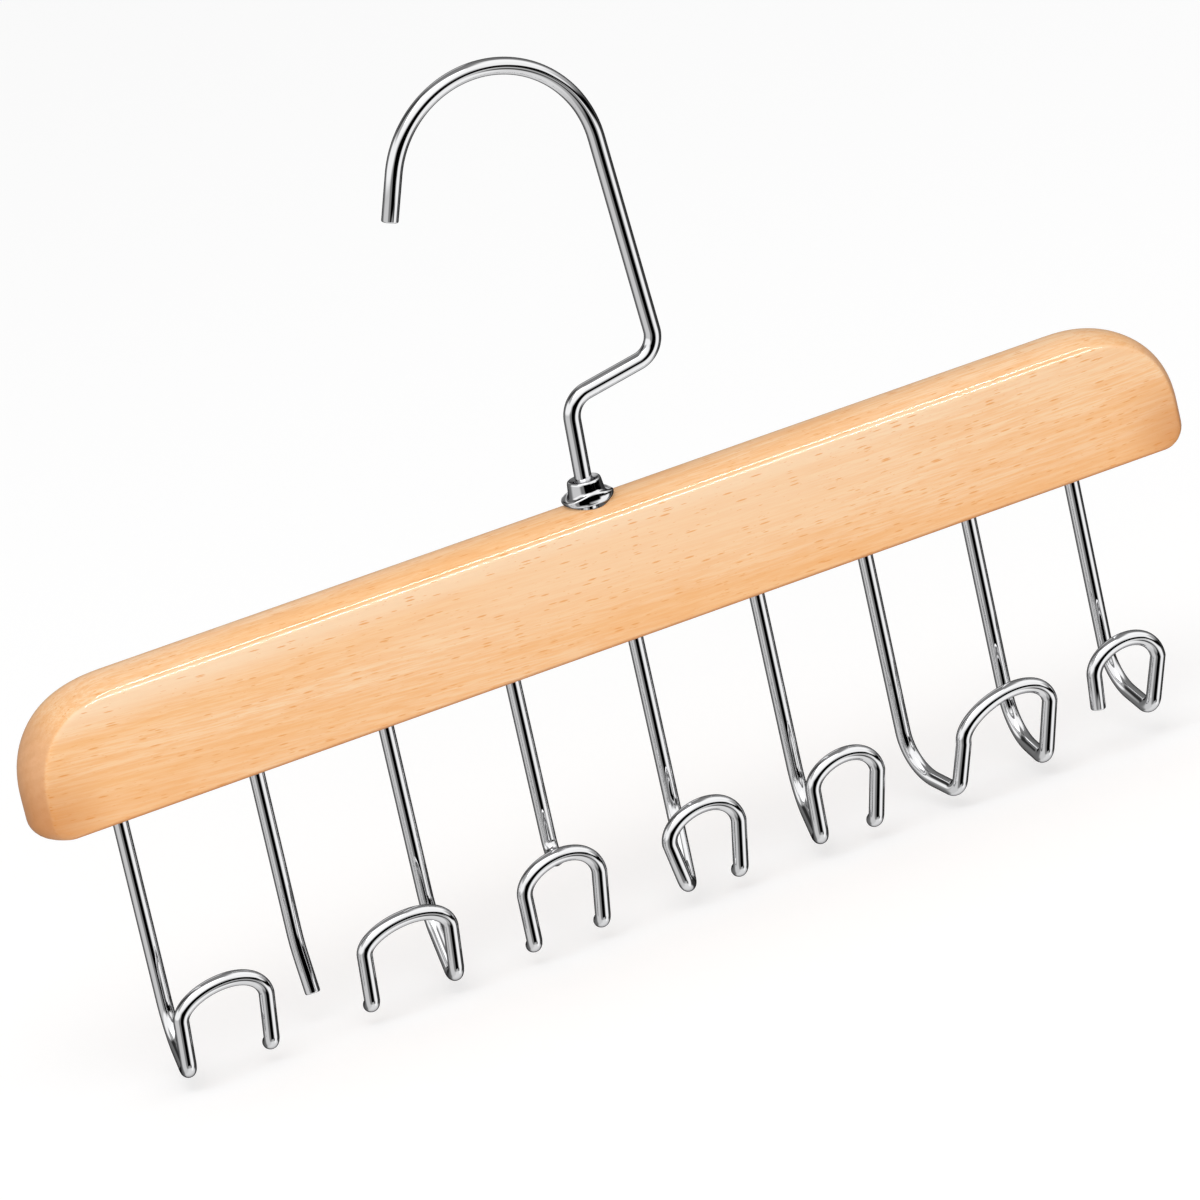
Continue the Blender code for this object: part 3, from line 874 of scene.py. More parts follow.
@dataclass
class WoodenBar:
    """The bar: flat faces, a crowned top and ends, soft arrises and drilled seats."""

    wood: Material
    corner_reach: float = 0.0290
    face_corner_reach: float = 0.0210
    corner_drop: float = 0.0252
    corner_power: float = 2.25
    lower_corner_radius: float = 0.0045
    face_lower_corner_radius: float = 0.0055
    lower_edge_round: float = 0.0012
    arris_radius: float = 0.0020
    seat_radius: float = 0.00212
    sleeve_bore_radius: float = 0.0055
    sleeve_bore_depth: float = 0.0200
    drill_overrun: float = 0.004
    drill_sides: int = 40
    end_turn: Pair = (0.45, 0.85)
    smooth_below: float = 30
    crown_steps: int = 12
    arris_steps: int = 8
    corner_steps: int = 28
    lower_corner_steps: int = 8

    def cross_stations(self) -> list[Pair]:
        """Stations of the cross-section from the ridge, over the arris, to the face.

        Returns:
            Half width and inset of each.
        """
        half = SIZES.half_thickness
        slope = math.atan(SIZES.arris_inset * SIZES.crown_power / half)
        start = half - self.arris_radius * (1 - math.sin(slope))
        stations = []
        for index in range(self.crown_steps + 1):
            y = start * index / self.crown_steps
            stations.append((y, SIZES.ridge_fall(y)))
        fall = stations[-1][1]
        for index in range(1, self.arris_steps + 1):
            turn = slope + (math.pi / 2 - slope) * index / self.arris_steps
            y = start + self.arris_radius * (math.sin(turn) - math.sin(slope))
            inset = fall + self.arris_radius * (math.cos(slope) - math.cos(turn))
            stations.append((y, inset))
        return stations

    def lower_rise(self, half_width: float) -> float:
        """How far the underside rises near the faces.

        Args:
            half_width: Distance from the bar's middle plane.

        Returns:
            The rise.
        """
        radius = self.lower_edge_round
        beyond = max(half_width - (SIZES.half_thickness - radius), 0)
        return radius - math.sqrt(max(radius ** 2 - beyond ** 2, 0))

    def outline(self, half_width: float, inset: float) -> list[Pair]:
        """Outline of one station from its top middle round to the right and back.

        Args:
            half_width: Distance of the station from the bar's middle plane.
            inset: How far its top and ends lie inside the ridge and the crown.

        Returns:
            Points (x, z) from the bar's middle and underside.
        """
        end = SIZES.bar_length / 2 - inset
        top = SIZES.bar_height - inset
        share = min(inset / SIZES.arris_inset, 1)
        reach = self.corner_reach + (self.face_corner_reach - self.corner_reach) * share
        drop = self.corner_drop - inset
        rise = self.lower_rise(half_width)
        right = []
        for index in range(self.corner_steps + 1):
            turn = math.pi / 2 * (1 - index / self.corner_steps)
            along = max(math.cos(turn), 0) ** (2 / self.corner_power) if index else 0
            above = max(math.sin(turn), 0) ** (2 / self.corner_power)
            if index == self.corner_steps:
                above = 0
            right.append((end - reach * (1 - along), top - drop * (1 - above)))
        radius = self.lower_corner_radius
        radius += (self.face_lower_corner_radius - radius) * share
        for index in range(self.lower_corner_steps + 1):
            turn = math.pi / 2 * index / self.lower_corner_steps
            x = end - radius * (1 - math.cos(turn))
            right.append((x, rise + radius * (1 - math.sin(turn))))
        left = [(-x, z) for x, z in reversed(right)]
        return right + left

    def rings(self) -> list[Path]:
        """All rings of the bar.

        Returns:
            The outline at each station, from the front face to the back face.
        """
        stations = self.cross_stations()
        found = []
        for side, run in ((-1, reversed(stations[1:])), (1, stations)):
            for half_width, inset in run:
                ring = []
                for x, z in self.outline(half_width, inset):
                    place = (SIZES.bar_x + x, side * half_width, SIZES.bar_bottom_z + z)
                    ring.append(Vector(place))
                found.append(ring)
        return found

    def drill(self, x: float, low: float, high: float, radius: float) -> Item:
        """Make one upright drill.

        Args:
            x: Its place along the bar.
            low: Height of its lower end.
            high: Height of its upper end.
            radius: Its radius.

        Returns:
            The drill.
        """
        place = (x, 0, (low + high) / 2)
        deselect_all()
        bpy.ops.mesh.primitive_cylinder_add(
            vertices=self.drill_sides, radius=radius, depth=high - low, location=place)
        return bpy.context.object

    def cut_seats(self, bar: Item) -> None:
        """Drill the seats of the legs and the bore of the sleeve.

        Args:
            bar: The bar.
        """
        low = SIZES.bar_bottom_z - self.drill_overrun
        high = SIZES.bar_bottom_z + (SIZES.leg_seat_depth + SIZES.seat_gap)
        drills = [
            self.drill(SIZES.leg_x(number), low, high, self.seat_radius)
            for number in range(1, len(SIZES.leg_place_shares) + 1)
        ]
        floor = SIZES.ridge_z - self.sleeve_bore_depth
        top = SIZES.ridge_z + self.drill_overrun
        drills.append(self.drill(SIZES.crown_offset, floor, top, self.sleeve_bore_radius))
        for tool in drills:
            cut = bar.modifiers.new("seat", "BOOLEAN")
            cut.operation = "DIFFERENCE"
            cut.solver = "EXACT"
            cut.object = tool
        apply_modifiers(bar)
        for tool in drills:
            bpy.data.objects.remove(tool, do_unlink=True)

    def mark_ends(self, bar: Item) -> None:
        """Store how far each point of the surface turns towards the bar's ends.

        Args:
            bar: The bar.
        """
        start, full = self.end_turn
        mask = bar.data.attributes.new(END_GRAIN, "FLOAT", "POINT")
        for index, vertex in enumerate(bar.data.vertices):
            turn = min(max((abs(vertex.normal.x) - start) / (full - start), 0), 1)
            mask.data[index].value = turn * turn * (3 - 2 * turn)

    def build(self) -> Item:
        """Make the bar.

        Returns:
            The bar, drilled and lacquered.
        """
        bar = loft("beech_bar", self.rings())
        self.mark_ends(bar)
        self.cut_seats(bar)
        shade_round(bar, self.smooth_below)
        bar.data.materials.append(self.wood)
        bar.visible_glossy = False
        return bar


# The swivel hook and what carries it


@dataclass
class SwivelHook:
    """The top hook of thick wire, from its free end to its upset head."""

    chrome: Material
    wire_radius: float = 0.00217
    tail_length: float = 0.0118
    tail_angle: float = math.radians(161)
    lean_angle: float = math.radians(3)
    neck_rise: float = 0.0261
    neck_lean: float = 0.0010
    neck_slope: float = math.radians(10.3)
    neck_bend_radius: float = 0.0065
    collar_bend_radius: float = 0.0400
    head_radius: float = 0.0034
    head_thickness: float = 0.0016
    head_depth: float = 0.0064
    shoulder_step: float = 0.0001
    crown_steps: int = 72
    sides_resolution: int = 18

    def path(self) -> Path:
        """Centre line from the free end to the top of the head.

        Returns:
            The points of the line.
        """
        centre = Vector((0, 0, SIZES.crown_centre_z))
        across = Vector((SIZES.crown_radius, 0, 0))
        up = Vector((0, 0, SIZES.crown_radius))
        arc = arc_points(centre, across, up, self.tail_angle, self.lean_angle, self.crown_steps)
        tail_way = Vector((-math.sin(self.tail_angle), 0, math.cos(self.tail_angle)))
        tail_end = arc[0] + tail_way * self.tail_length
        neck = Vector((SIZES.crown_offset + self.neck_lean, 0, SIZES.ridge_z + self.neck_rise))
        back_way = Vector((math.sin(self.lean_angle), 0, -math.cos(self.lean_angle)))
        neck_way = Vector((math.cos(self.neck_slope), 0, math.sin(self.neck_slope)))
        to_neck = arc[-1] - neck
        lap = neck_way.x * back_way.z - neck_way.z * back_way.x
        run = (to_neck.x * back_way.z - to_neck.z * back_way.x) / lap
        heel = neck + neck_way * run
        collar_z = SIZES.ridge_z + SIZES.seat_gap + SIZES.ferrule_height
        collar = Vector((SIZES.crown_offset, 0, collar_z))
        head_top = Vector((SIZES.crown_offset, 0, SIZES.ridge_z - self.head_depth))
        corners = [arc[-1], heel, neck, collar, head_top]
        lower = bent_path(corners, [self.neck_bend_radius] * 2 + [self.collar_bend_radius])
        return [tail_end] + arc + lower[1:]

    def build(self) -> Item:
        """Make the wire and its head.

        Returns:
            The wire.
        """
        path = self.path()
        swells = [1.0] * len(path)
        head = path[-1]
        swell = self.head_radius / self.wire_radius
        path.append(head - Vector((0, 0, self.shoulder_step)))
        path.append(head - Vector((0, 0, self.head_thickness)))
        swells += [swell, swell]
        wire = RoundWire(
            "hook_wire", path, self.wire_radius, swells=swells,
            sides_resolution=self.sides_resolution).build()
        wire.data.materials.append(self.chrome)
        return wire


@dataclass(frozen=True)
class HatRing:
    """One ring of the hat, in millimetres: its end along the bar, and its front and back."""

    end_radius: float
    end_height: float
    front_radius: float
    front_height: float


@dataclass
class Ferrule:
    """The pressed hat on the ridge: a dished crown, a flared wall and a rolled skirt.

    The skirt stands out as a lip towards the bar's ends and lies close to the wall in front.
    """

    chrome: Material
    rings: tuple[HatRing, ...] = (
        HatRing(2.50, 5.05, 2.50, 5.05),
        HatRing(2.60, 5.18, 2.60, 5.18),
        HatRing(3.00, 5.24, 3.00, 5.24),
        HatRing(3.40, 5.36, 3.40, 5.36),
        HatRing(3.65, 5.46, 3.65, 5.46),
        HatRing(3.85, 5.50, 3.85, 5.50),
        HatRing(4.03, 5.44, 4.03, 5.44),
        HatRing(4.17, 5.30, 4.17, 5.30),
        HatRing(4.27, 5.08, 4.27, 5.08),
        HatRing(4.34, 4.70, 4.34, 4.80),
        HatRing(4.45, 3.80, 4.43, 4.10),
        HatRing(4.58, 2.60, 4.52, 3.45),
        HatRing(4.68, 1.85, 4.58, 3.05),
        HatRing(4.88, 1.25, 4.63, 2.82),
        HatRing(5.20, 0.88, 4.69, 2.68),
        HatRing(5.60, 0.80, 4.76, 2.56),
        HatRing(6.00, 0.98, 4.83, 2.42),
        HatRing(6.26, 1.18, 4.90, 2.24),
        HatRing(6.44, 1.20, 4.96, 2.02),
        HatRing(6.53, 1.05, 5.02, 1.72),
        HatRing(6.53, 0.82, 5.07, 1.32),
        HatRing(6.45, 0.54, 5.10, 0.88),
        HatRing(6.28, 0.26, 5.08, 0.46),
        HatRing(6.02, 0.06, 4.98, 0.16),
        HatRing(5.70, 0.00, 4.80, 0.08),
        HatRing(4.60, 0.20, 4.30, 0.30),
        HatRing(4.10, 1.60, 4.05, 1.60),
        HatRing(3.80, 4.40, 3.80, 4.40),
        HatRing(2.50, 4.55, 2.50, 4.55),
    )
    skirt_power: float = 2.7
    skirt_start: float = 4.7
    skirt_end: float = 6.5
    follow: float = 0.85
    follow_height: float = 2.2
    smooth_below: float = 60
    sides: int = 120

    def ring(self, hat_ring: HatRing) -> Path:
        """Draw one ring, with the skirt's corners full and its foot near the wood.

        Args:
            hat_ring: Its radii and heights.

        Returns:
            Its points.
        """
        foot = SIZES.ridge_z + SIZES.seat_gap
        skirt = (hat_ring.end_radius - self.skirt_start) / (self.skirt_end - self.skirt_start)
        power = 2 + (self.skirt_power - 2) * min(max(skirt, 0), 1)
        low = max(1 - hat_ring.front_height / self.follow_height, 0) * self.follow
        found = []
        for index in range(self.sides):
            turn = 2 * math.pi * index / self.sides
            across = math.cos(turn)
            along = math.sin(turn)
            reach = (abs(across) ** power + abs(along) ** power) ** (-1 / power) / MM_PER_METRE
            y = hat_ring.front_radius * along * reach
            share = across ** 2
            height = hat_ring.front_height + (hat_ring.end_height - hat_ring.front_height) * share
            z = foot + height / MM_PER_METRE - SIZES.ridge_fall(y) * low
            x = hat_ring.end_radius * across * reach
            found.append(Vector((SIZES.crown_offset + x, y, z)))
        return found

    def build(self) -> Item:
        """Make the ferrule.

        Returns:
            The ferrule.
        """
        hat = loft("ferrule_hat", [self.ring(hat_ring) for hat_ring in self.rings], closed=True)
        shade_round(hat, self.smooth_below)
        hat.data.materials.append(self.chrome)
        return hat


# The row of wire hooks


@dataclass(frozen=True)
class ArchShares:
    """Where one bent hook stands beside its leg, as shares of the row's own sizes."""

    left: float
    right: float
    left_foot: float
    right_foot: float
    rise: float
    knee: float
    sink: float


@dataclass
class HookRow:
    """The nine legs below the bar: bent hooks, a straight peg, and a loop on a post."""

    chrome: Material
    wire_radius: float = 0.00197
    lean: float = 0.0007
    lean_bend_radius: float = 0.0600
    reach: float = 0.0180
    foot_drop: float = 0.0632
    spring_drop: float = 0.0505
    arch_rise: float = 0.0070
    arch_span: float = 0.0200
    knee_rise: float = 0.0065
    knee_radius: float = 0.0120
    foot_radius: float = 0.0028
    stub_radius: float = 0.0020
    stub_reach: float = 0.0030
    stub_fall: float = 0.0004
    ninth_lift: float = 0.0028
    ninth_tail_drop: float = 0.0586
    peg_bend_drop: float = 0.0480
    peg_length: float = 0.0605
    peg_lean: float = 0.0030
    peg_bend_radius: float = 0.0300
    post_knee_drop: float = 0.0505
    post_bend_radius: float = 0.0042
    joint_gap: float = 0.0002
    tilted_arch: float = 0.21
    arch_skew: float = 0.12
    arch_steps: int = 40
    shares: dict[str, ArchShares] = field(default_factory=lambda: {
        "wire_hook_1": ArchShares(-0.145, 0.995, -0.200, 0.910, 0.95, 0.80, 0.45),
        "wire_hook_3": ArchShares(-1.260, -0.095, -1.310, -0.180, 0.86, 1.60, 1.15),
        "wire_loop_4": ArchShares(-0.810, 0.210, -0.825, 0.110, 1.05, 1.00, 0.00),
        "wire_hook_5": ArchShares(-0.505, 0.450, -0.380, 0.330, 1.00, 2.10, 0.80),
        "wire_hook_6": ArchShares(-0.195, 0.705, -0.225, 0.540, 0.95, 1.00, 0.45),
        "wire_hook_7_8": ArchShares(0.385, 1.645, 0.180, 1.420, 1.05, 0.50, 0.20),
        "wire_hook_9": ArchShares(-0.640, 0.270, -0.680, 0.035, 1.00, 0.75, 0.25),
    })

    def place(self, x: float, y: float, drop: float, lift: float = 0.0) -> Vector:
        """A place below the bar."""
        return Vector((x, y, SIZES.bar_bottom_z - drop + lift))

    def seat(self, leg: float) -> Vector:
        """The top of a leg, in its seat."""
        return Vector((leg, 0, SIZES.bar_bottom_z + SIZES.leg_seat_depth))

    def mouth(self, leg: float) -> Vector:
        """Where a leg leaves its seat."""
        return Vector((leg, 0, SIZES.bar_bottom_z))

    def arch(self, name: str, leg: float, tilt: float = 0.0, lift: float = 0.0) -> Path:
        """Arch of one hook.

        Args:
            name: The node of the hook.
            leg: Place of its leg along the bar.
            tilt: How far the arch slants, as a share of its rise.
            lift: How much higher than the others it stands.

        Returns:
            Its points, from its left spring over the crown to its right spring.
        """
        form = self.shares[name]
        left = leg + form.left * self.arch_span
        right = leg + form.right * self.arch_span
        middle = (left + right) / 2
        half = (right - left) / 2
        rise = form.rise * self.arch_rise
        found = []
        for index in range(self.arch_steps + 1):
            turn = math.pi * index / self.arch_steps
            across = self.arch_skew * math.sin(turn) ** 2 - math.cos(turn)
            drop = self.spring_drop - tilt * rise * across - rise * math.sin(turn)
            found.append(self.place(middle + half * across, -self.reach, drop, lift))
        return found

    def foot_x(self, name: str, leg: float, side: Side) -> float:
        """Place of one foot of a hook along the bar.

        Args:
            name: The node of the hook.
            leg: Place of its leg along the bar.
            side: The foot's side of the arch.

        Returns:
            The place.
        """
        form = self.shares[name]
        share = form.left_foot if side is Side.LEFT else form.right_foot
        return leg + share * self.arch_span

    def rear_run(
        self, name: str, leg: float, foot: float, spring: Vector, lift: float = 0.0
    ) -> Path:
        """Leg, knee and foot of a hook.

        Args:
            name: The node of the hook.
            leg: Place of its leg along the bar.
            foot: Place of its foot along the bar.
            spring: The end of its arch.
            lift: How much higher than the others it stands.

        Returns:
            The points, from the seat to the spring.
        """
        form = self.shares[name]
        corners = [
            self.seat(leg),
            self.mouth(leg),
            self.place(leg - self.lean, 0, self.foot_drop - form.knee * self.knee_rise, lift),
            self.place(foot, -self.reach, self.foot_drop + form.sink * self.foot_radius, lift),
            spring,
        ]
        return bent_path(corners, [self.lean_bend_radius, self.knee_radius, self.foot_radius])

    def stub(self, spring: Vector, foot: float) -> Path:
        """Front stroke from a spring down to a foot turned back and cut short.

        Args:
            spring: The end of the arch.
            foot: Place of the foot along the bar.

        Returns:
            The points, from the spring to the cut.
        """
        low = self.place(foot, -self.reach, self.foot_drop)
        end = low + Vector((0, self.stub_reach, -self.stub_fall))
        return bent_path([spring, low, end], [self.stub_radius])

    def wire(
        self, name: str, path: Path, last: WireEnd, first: WireEnd = WireEnd.CUT
    ) -> Item:
        """Make one wire in place of its plain solid.

        Args:
            name: The node that it replaces.
            path: Its centre line.
            last: The finish of its last end.
            first: The finish of its first end.

        Returns:
            The wire.
        """
        wire = RoundWire(name + "_round", path, self.wire_radius, first=first, last=last).build()
        wire.data.materials.append(self.chrome)
        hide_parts(name)
        return wire

    def stubbed_hook(self, number: int, side: Side) -> Item:
        """Make a hook whose leg meets one foot, and whose other foot is cut short.

        Args:
            number: Its place in the row.
            side: The side of the foot that the leg meets.

        Returns:
            The hook.
        """
        name = f"wire_hook_{number}"
        leg = SIZES.leg_x(number)
        arch = self.arch(name, leg)
        if side is Side.RIGHT:
            arch.reverse()
        far = Side.LEFT if side is Side.RIGHT else Side.RIGHT
        path = self.rear_run(name, leg, self.foot_x(name, leg, side), arch[0])
        path += arch[1:] + self.stub(arch[-1], self.foot_x(name, leg, far))[1:]
        return self.wire(name, path, WireEnd.DOMED)

    def open_hook(self) -> Item:
        """Make the last hook, whose arch ends in a straight cut tail.

        Returns:
            The hook.
        """
        name = "wire_hook_9"
        leg = SIZES.leg_x(9)
        arch = self.arch(name, leg, lift=self.ninth_lift)[::-1]
        foot = self.foot_x(name, leg, Side.RIGHT)
        tail_x = self.foot_x(name, leg, Side.LEFT)
        tail = self.place(tail_x, -self.reach, self.ninth_tail_drop, self.ninth_lift)
        path = self.rear_run(name, leg, foot, arch[0], self.ninth_lift) + arch[1:] + [tail]
        return self.wire(name, path, WireEnd.CUT)

    def closed_hook(self) -> Item:
        """Make one wire with two legs, joined by two feet and a slanting arch.

        Returns:
            The wire.
        """
        name = "wire_hook_7_8"
        leg = SIZES.leg_x(7)
        arch = self.arch(name, leg, self.tilted_arch)
        first = self.rear_run(name, leg, self.foot_x(name, leg, Side.LEFT), arch[0])
        last = self.rear_run(name, SIZES.leg_x(8), self.foot_x(name, leg, Side.RIGHT), arch[-1])
        return self.wire(name, first + arch[1:-1] + last[::-1], WireEnd.CUT)

    def peg(self) -> Item:
        """Make the straight peg, bent a little forward near its end.

        Returns:
            The peg.
        """
        leg = SIZES.leg_x(2)
        low = leg - self.lean
        corners = [
            self.seat(leg),
            self.mouth(leg),
            self.place(low, 0, self.peg_bend_drop),
            self.place(low, -self.peg_lean, self.peg_length),
        ]
        path = bent_path(corners, [self.lean_bend_radius, self.peg_bend_radius])
        return self.wire("wire_peg_2", path, WireEnd.CUT)

    def loop(self) -> Item:
        """Make the loop with two cut feet.

        Returns:
            The loop.
        """
        name = "wire_loop_4"
        leg = SIZES.leg_x(4)
        arch = self.arch(name, leg)
        left = self.stub(arch[0], self.foot_x(name, leg, Side.LEFT))[::-1]
        right = self.stub(arch[-1], self.foot_x(name, leg, Side.RIGHT))
        return self.wire(name, left[:-1] + arch + right[1:], WireEnd.DOMED, WireEnd.DOMED)

    def post(self) -> Item:
        """Make the post that carries the loop at its crown.

        Returns:
            The post.
        """
        leg = SIZES.leg_x(4)
        arch = self.arch("wire_loop_4", leg)
        crown = arch[len(arch) // 2]
        knee = self.place(leg - self.lean, 0, self.post_knee_drop)
        away = (knee - crown).normalized()
        tip = crown + away * (self.wire_radius + self.joint_gap)
        corners = [self.seat(leg), self.mouth(leg), knee, tip]
        path = bent_path(corners, [self.lean_bend_radius, self.post_bend_radius])
        return self.wire("wire_post_4", path, WireEnd.TAPERED)

    def build(self) -> list[Item]:
        """Make every wire of the row.

        Returns:
            The wires, from left to right.
        """
        return [
            self.stubbed_hook(1, Side.LEFT),
            self.peg(),
            self.stubbed_hook(3, Side.RIGHT),
            self.loop(),
            self.post(),
            self.stubbed_hook(5, Side.LEFT),
            self.stubbed_hook(6, Side.LEFT),
            self.closed_hook(),
            self.open_hook(),
        ]


# The studio


@dataclass(frozen=True)
class Heading:
    """Horizontal directions as the camera sees them."""

    azimuth: float = math.radians(19.4)

    @property
    def to_camera(self) -> Vector:
        """The level direction from the hanger to the camera."""
        return Vector((-math.sin(self.azimuth), -math.cos(self.azimuth), 0))

    @property
    def to_right(self) -> Vector:
        """The level direction to the camera's right."""
        return Vector((math.cos(self.azimuth), -math.sin(self.azimuth), 0))

    def direction(self, turn: float, elevation: float) -> Vector:
        """Direction from the hanger.

        Args:
            turn: Degrees to the camera's right.
            elevation: Degrees above the horizon.

        Returns:
            The direction, of length one.
        """
        side = math.radians(turn)
        rise = math.radians(elevation)
        level = self.to_camera * math.cos(side) + self.to_right * math.sin(side)
        return level * math.cos(rise) + Vector((0, 0, math.sin(rise)))


HEADING = Heading()


@dataclass
class PhotoCamera:
    """The camera at the photograph's place."""

    elevation: float = math.radians(18)
    roll: float = math.radians(13.36)
    distance: float = 2.226
    lens: float = 270.0
    sensor_width: float = 36.0
    clip_start: float = 0.1
    clip_end: float = 50.0
    aim: Triple = (0.0005, 0.0, -0.1367)

    def build(self) -> Item:
        """Place the camera and make it the scene's own.

        Returns:
            The camera.
        """
        level = -HEADING.to_camera
        forward = level * math.cos(self.elevation) - Vector((0, 0, math.sin(self.elevation)))
        right = HEADING.to_right
        up = right.cross(forward)
        x_axis = right * math.cos(self.roll) - up * math.sin(self.roll)
        y_axis = right * math.sin(self.roll) + up * math.cos(self.roll)
        deselect_all()
        bpy.ops.object.camera_add(location=Vector(self.aim) - forward * self.distance)
        camera = bpy.context.object
        camera.name = "photo_camera"
        turned = camera.matrix_world.copy()
        for row in range(3):
            turned[row][0] = x_axis[row]
            turned[row][1] = y_axis[row]
            turned[row][2] = -forward[row]
        camera.rotation_euler = turned.to_euler()
        for setting in ("lens", "sensor_width", "clip_start", "clip_end"):
            setattr(camera.data, setting, getattr(self, setting))
        bpy.context.scene.camera = camera
        return camera


@dataclass(frozen=True)
class Panel:
    """One card or window of the room that the metal reflects, in degrees from the camera."""

    name: str
    left: float
    right: float
    low: float
    high: float
    level: float
    side_fade: float
    rise_fade: float


@dataclass(frozen=True)
class SoftBox:
    """A rectangular lamp that faces the hanger."""

    name: str
    turn: float
    elevation: float
    distance: float
    width: float
    height: float
    radiance: float
    in_metal: bool = True
    gloss_only: bool = False

    def build(self, target: Vector) -> Item:
        """Hang the lamp, with a power that gives its radiance, and a gloss strip along the bar.

        Args:
            target: The place that it faces.

        Returns:
            The lamp.
        """
        place = target + HEADING.direction(self.turn, self.elevation) * self.distance
        away = place - target
        if self.gloss_only:
            away.x = 0
        deselect_all()
        bpy.ops.object.light_add(type="AREA", location=place)
        lamp = bpy.context.object
        lamp.name = self.name
        lamp.data.shape = "RECTANGLE"
        lamp.data.size = self.width
        lamp.data.size_y = self.height
        lamp.data.energy = self.radiance * math.pi * self.width * self.height
        lamp.rotation_euler = (-away).to_track_quat("-Z", "Y").to_euler()
        lamp.visible_camera = False
        lamp.visible_glossy = self.in_metal
        lamp.visible_diffuse = not self.gloss_only
        return lamp


@dataclass
class Studio:
    """A pale floor, a plain room and soft lamps."""

    floor_drop: float = 0.2150
    floor_size: float = 30.0
    floor_tone: float = 0.70
    floor_glow: float = 0.36
    room_level: float = 0.78
    base_level: float = 0.42
    panels: tuple[Panel, ...] = (
        Panel("pale_ground", -190, 190, -100, -44, 0.78, 5, 7),
        Panel("left_wall", -98, -26, -60, 6, 0.64, 10, 10),
        Panel("left_back", -190, -104, -48, 72, 0.19, 10, 10),
        Panel("right_back", 128, 190, -48, 72, 0.20, 8, 10),
        Panel("back_window", -190, -156, 14, 44, 0.75, 8, 8),
        Panel("left_back_card", -138, -104, 26, 62, 0.03, 8, 8),
        Panel("right_back_card", 86, 146, -44, 8, 0.05, 8, 8),
        Panel("upper_window", -62, 116, 22, 66, 1.08, 8, 8),
        Panel("left_window", -106, -24, 5, 34, 1.02, 6, 5),
        Panel("right_window", 40, 82, -62, 40, 1.00, 6, 8),
        Panel("ceiling", -190, 190, 70, 100, 0.22, 5, 6),
        Panel("left_return", -36, -8, -40, 8, 0.22, 8, 8),
        Panel("low_return", 24, 42, -44, -27, 0.06, 5, 4),
        Panel("camera_card", -12, 31, -29, 16, 0.0, 4, 4),
        Panel("table_line", 14, 46, -15, 10, 0.0, 3, 3),
        Panel("table_line_middle", 42, 62, -8, 10, 0.0, 4, 3),
        Panel("table_line_far", 58, 108, -9, 5, 0.0, 4, 3),
    )
    lamps: tuple[SoftBox, ...] = (
        SoftBox("key_strip", 42, 34.8, 1.6, 1.20, 0.26, 44.0, gloss_only=True),
        SoftBox("line_strip", 111.8, 71.6, 1.6, 0.90, 0.08, 42.0, gloss_only=True),
        SoftBox("top_softbox", -20, 68, 1.6, 1.4, 0.9, 1.1),
        SoftBox("front_fill", 5, 4, 1.6, 1.8, 1.4, 1.40, in_metal=False),
    )

    def floor(self) -> Item:
        """Lay the floor just below the feet of the hooks.

        Returns:
            The floor.
        """
        deselect_all()
        bpy.ops.mesh.primitive_plane_add(size=self.floor_size, location=(0, 0, -self.floor_drop))
        floor = name_piece(bpy.context.object, "studio_floor")
        made, bench, shader = new_material("pale_floor")
        seen = bench.add("ShaderNodeLightPath").outputs["Is Camera Ray"]
        bench.feed(shader, {
            "Base Color": colour(*[self.floor_tone] * 3),
            "Roughness": 1.0,
            "Specular IOR Level": 0.0,
            "Emission Color": colour(1, 1, 1),
            "Emission Strength": bench.times(seen, self.floor_glow),
        })
        floor.data.materials.append(made)
        floor.visible_glossy = False
        return floor

    def panel_mask(self, bench: NodeBench, panel: Panel, turn: Socket, rise: Socket) -> Socket:
        """How much of a panel is seen in a direction.

        Args:
            bench: The bench of the room.
            panel: The panel.
            turn: Degrees to the camera's right.
            rise: Degrees above the horizon.

        Returns:
            The mask.
        """
        sides = []
        for angle, low, high, fade in (
            (turn, panel.left, panel.right, panel.side_fade),
            (rise, panel.low, panel.high, panel.rise_fade),
        ):
            inside = bench.step(angle, low - fade, low + fade)
            past = bench.step(angle, high - fade, high + fade)
            sides.append(bench.math("SUBTRACT", inside, past))
        return bench.math("MULTIPLY", *sides, clamp=True)

    def reflected_room(self, bench: NodeBench) -> Socket:
        """Brightness of the room that metal reflects, by direction.

        Args:
            bench: The bench of the room.

        Returns:
            The brightness.
        """
        way = bench.add("ShaderNodeTexCoord").outputs["Generated"]
        side = bench.along(way, HEADING.to_right)
        front = bench.along(way, HEADING.to_camera)
        turn = bench.math("DEGREES", bench.math("ARCTAN2", side, front))
        rise = bench.math("DEGREES", bench.math("ARCSINE", bench.axes(way)[2]))
        level = self.base_level
        for panel in self.panels:
            mask = self.panel_mask(bench, panel, turn, rise)
            level = bench.blend(mask, level, panel.level)
        return level

    def room(self) -> None:
        """Make the world: white behind the hanger, panels in the metal, plain light elsewhere."""
        world = bpy.data.worlds.new("studio_room")
        bpy.context.scene.world = world
        world.use_nodes = True
        bench = NodeBench(world.node_tree)
        plain = world.node_tree.nodes["Background"]
        path = bench.add("ShaderNodeLightPath").outputs
        lit = bench.blend(path["Is Glossy Ray"], self.room_level, self.reflected_room(bench))
        seen = bench.blend(path["Is Camera Ray"], lit, 1.0)
        bench.feed(plain, {"Color": colour(1, 1, 1), "Strength": seen})

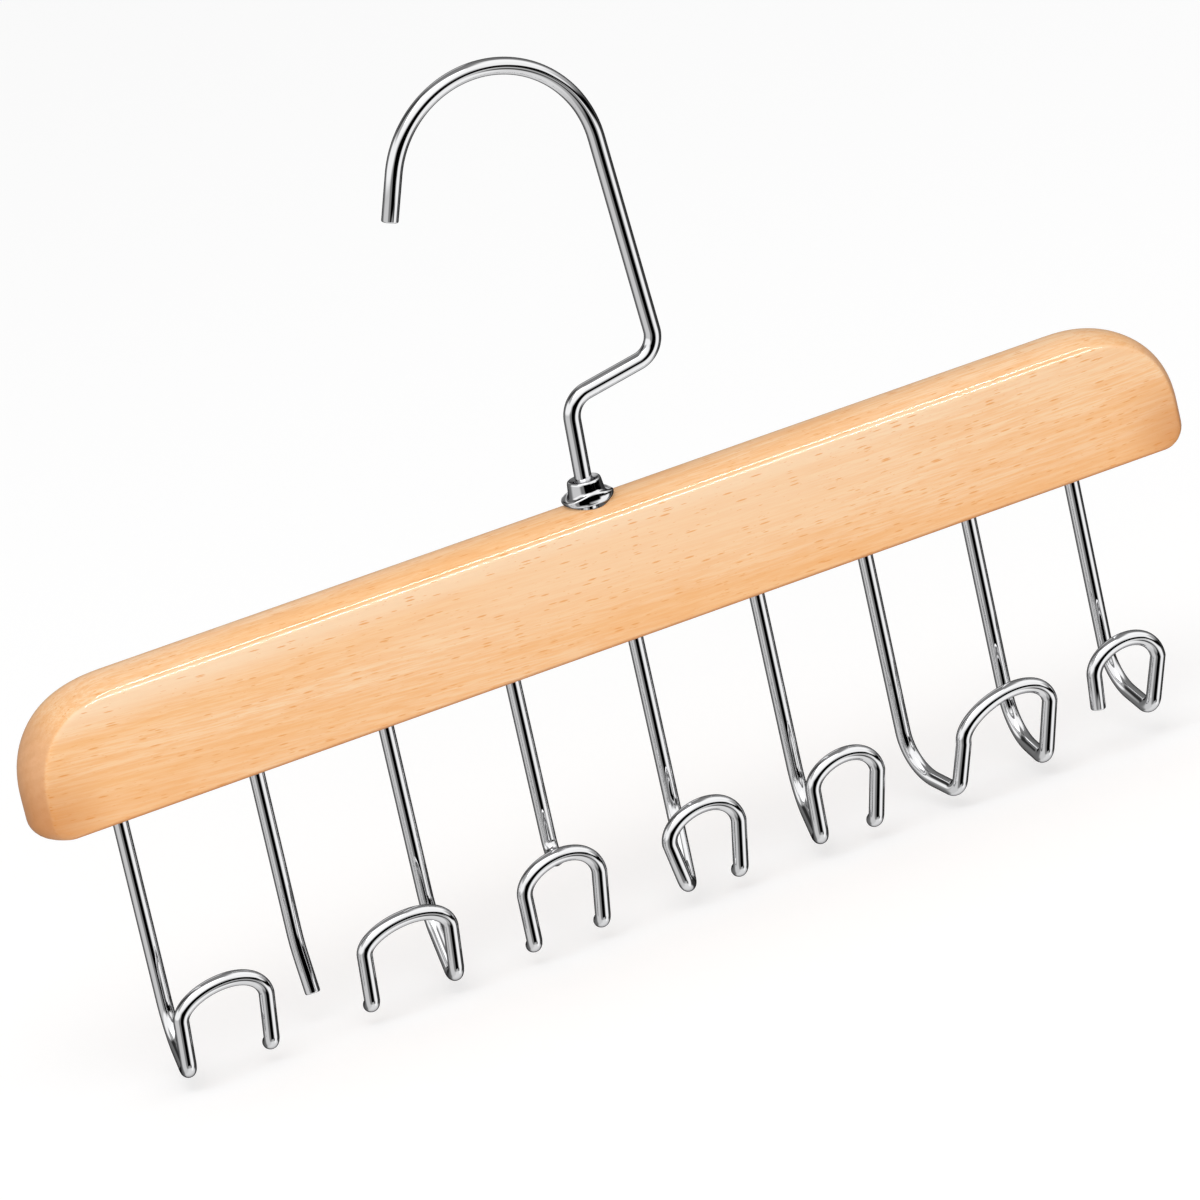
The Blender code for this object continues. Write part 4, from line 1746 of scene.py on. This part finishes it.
    def build(self) -> list[Item]:
        """Set up the whole studio.

        Returns:
            The gloss strips, which shine on the lacquer alone.
        """
        self.floor()
        self.room()
        target = Vector((SIZES.bar_x, 0, SIZES.ridge_z))
        strips = []
        for box in self.lamps:
            lamp = box.build(target)
            if box.gloss_only:
                strips.append(lamp)
        bpy.context.scene.view_settings.view_transform = "Standard"
        return strips


def shine_on(strips: list[Item], item: Item) -> None:
    """Let the gloss strips light one piece alone.

    Args:
        strips: The strips.
        item: The piece.
    """
    lit = bpy.data.collections.new("lacquered")
    lit.objects.link(item)
    for strip in strips:
        strip.light_linking.receiver_collection = lit


# Putting it together


def dress_node(node: str, finish: Material) -> None:
    """Give a node of the frame that stays in view a better finish.

    Args:
        node: Name of the node.
        finish: The material.
    """
    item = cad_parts[node]
    item.data.materials.clear()
    item.data.materials.append(finish)


def place_piece(item: Item, body: Body, slot: Slot) -> None:
    """Let a piece ride on its body, and report it.

    Args:
        item: The piece.
        body: The body that it moves with.
        slot: Not used.
    """
    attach(item, body.value)
    LOG.info("%s rides on %s, %d faces", item.name, body.value, len(item.data.polygons))


def main() -> None:
    """Build the studio, the camera and every piece of the hanger."""
    logging.basicConfig(level=logging.INFO, format="%(message)s")
    PhotoCamera().build()
    strips = Studio().build()
    marks = HandlingMarks().group()
    chrome = CHROME_PLATE.material(marks)
    zinc = ZINC_PLATE.material(marks)
    beech = BeechFinish().material()

    bar = WoodenBar(beech).build()
    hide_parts("wooden_bar")
    place_piece(bar, Body.HANGER, Slot.BEECH)
    shine_on(strips, bar)
    hat = Ferrule(chrome).build()
    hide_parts("ferrule")
    place_piece(hat, Body.HANGER, Slot.CHROME)
    hook = SwivelHook(chrome).build()
    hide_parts("swivel_hook")
    place_piece(hook, Body.HOOK, Slot.CHROME)
    for piece in HookRow(chrome).build():
        place_piece(piece, Body.HANGER, Slot.CHROME)
    for node in ("anchor_sleeve", "thrust_washer"):
        dress_node(node, zinc)


if __name__ == "__main__":
    main()
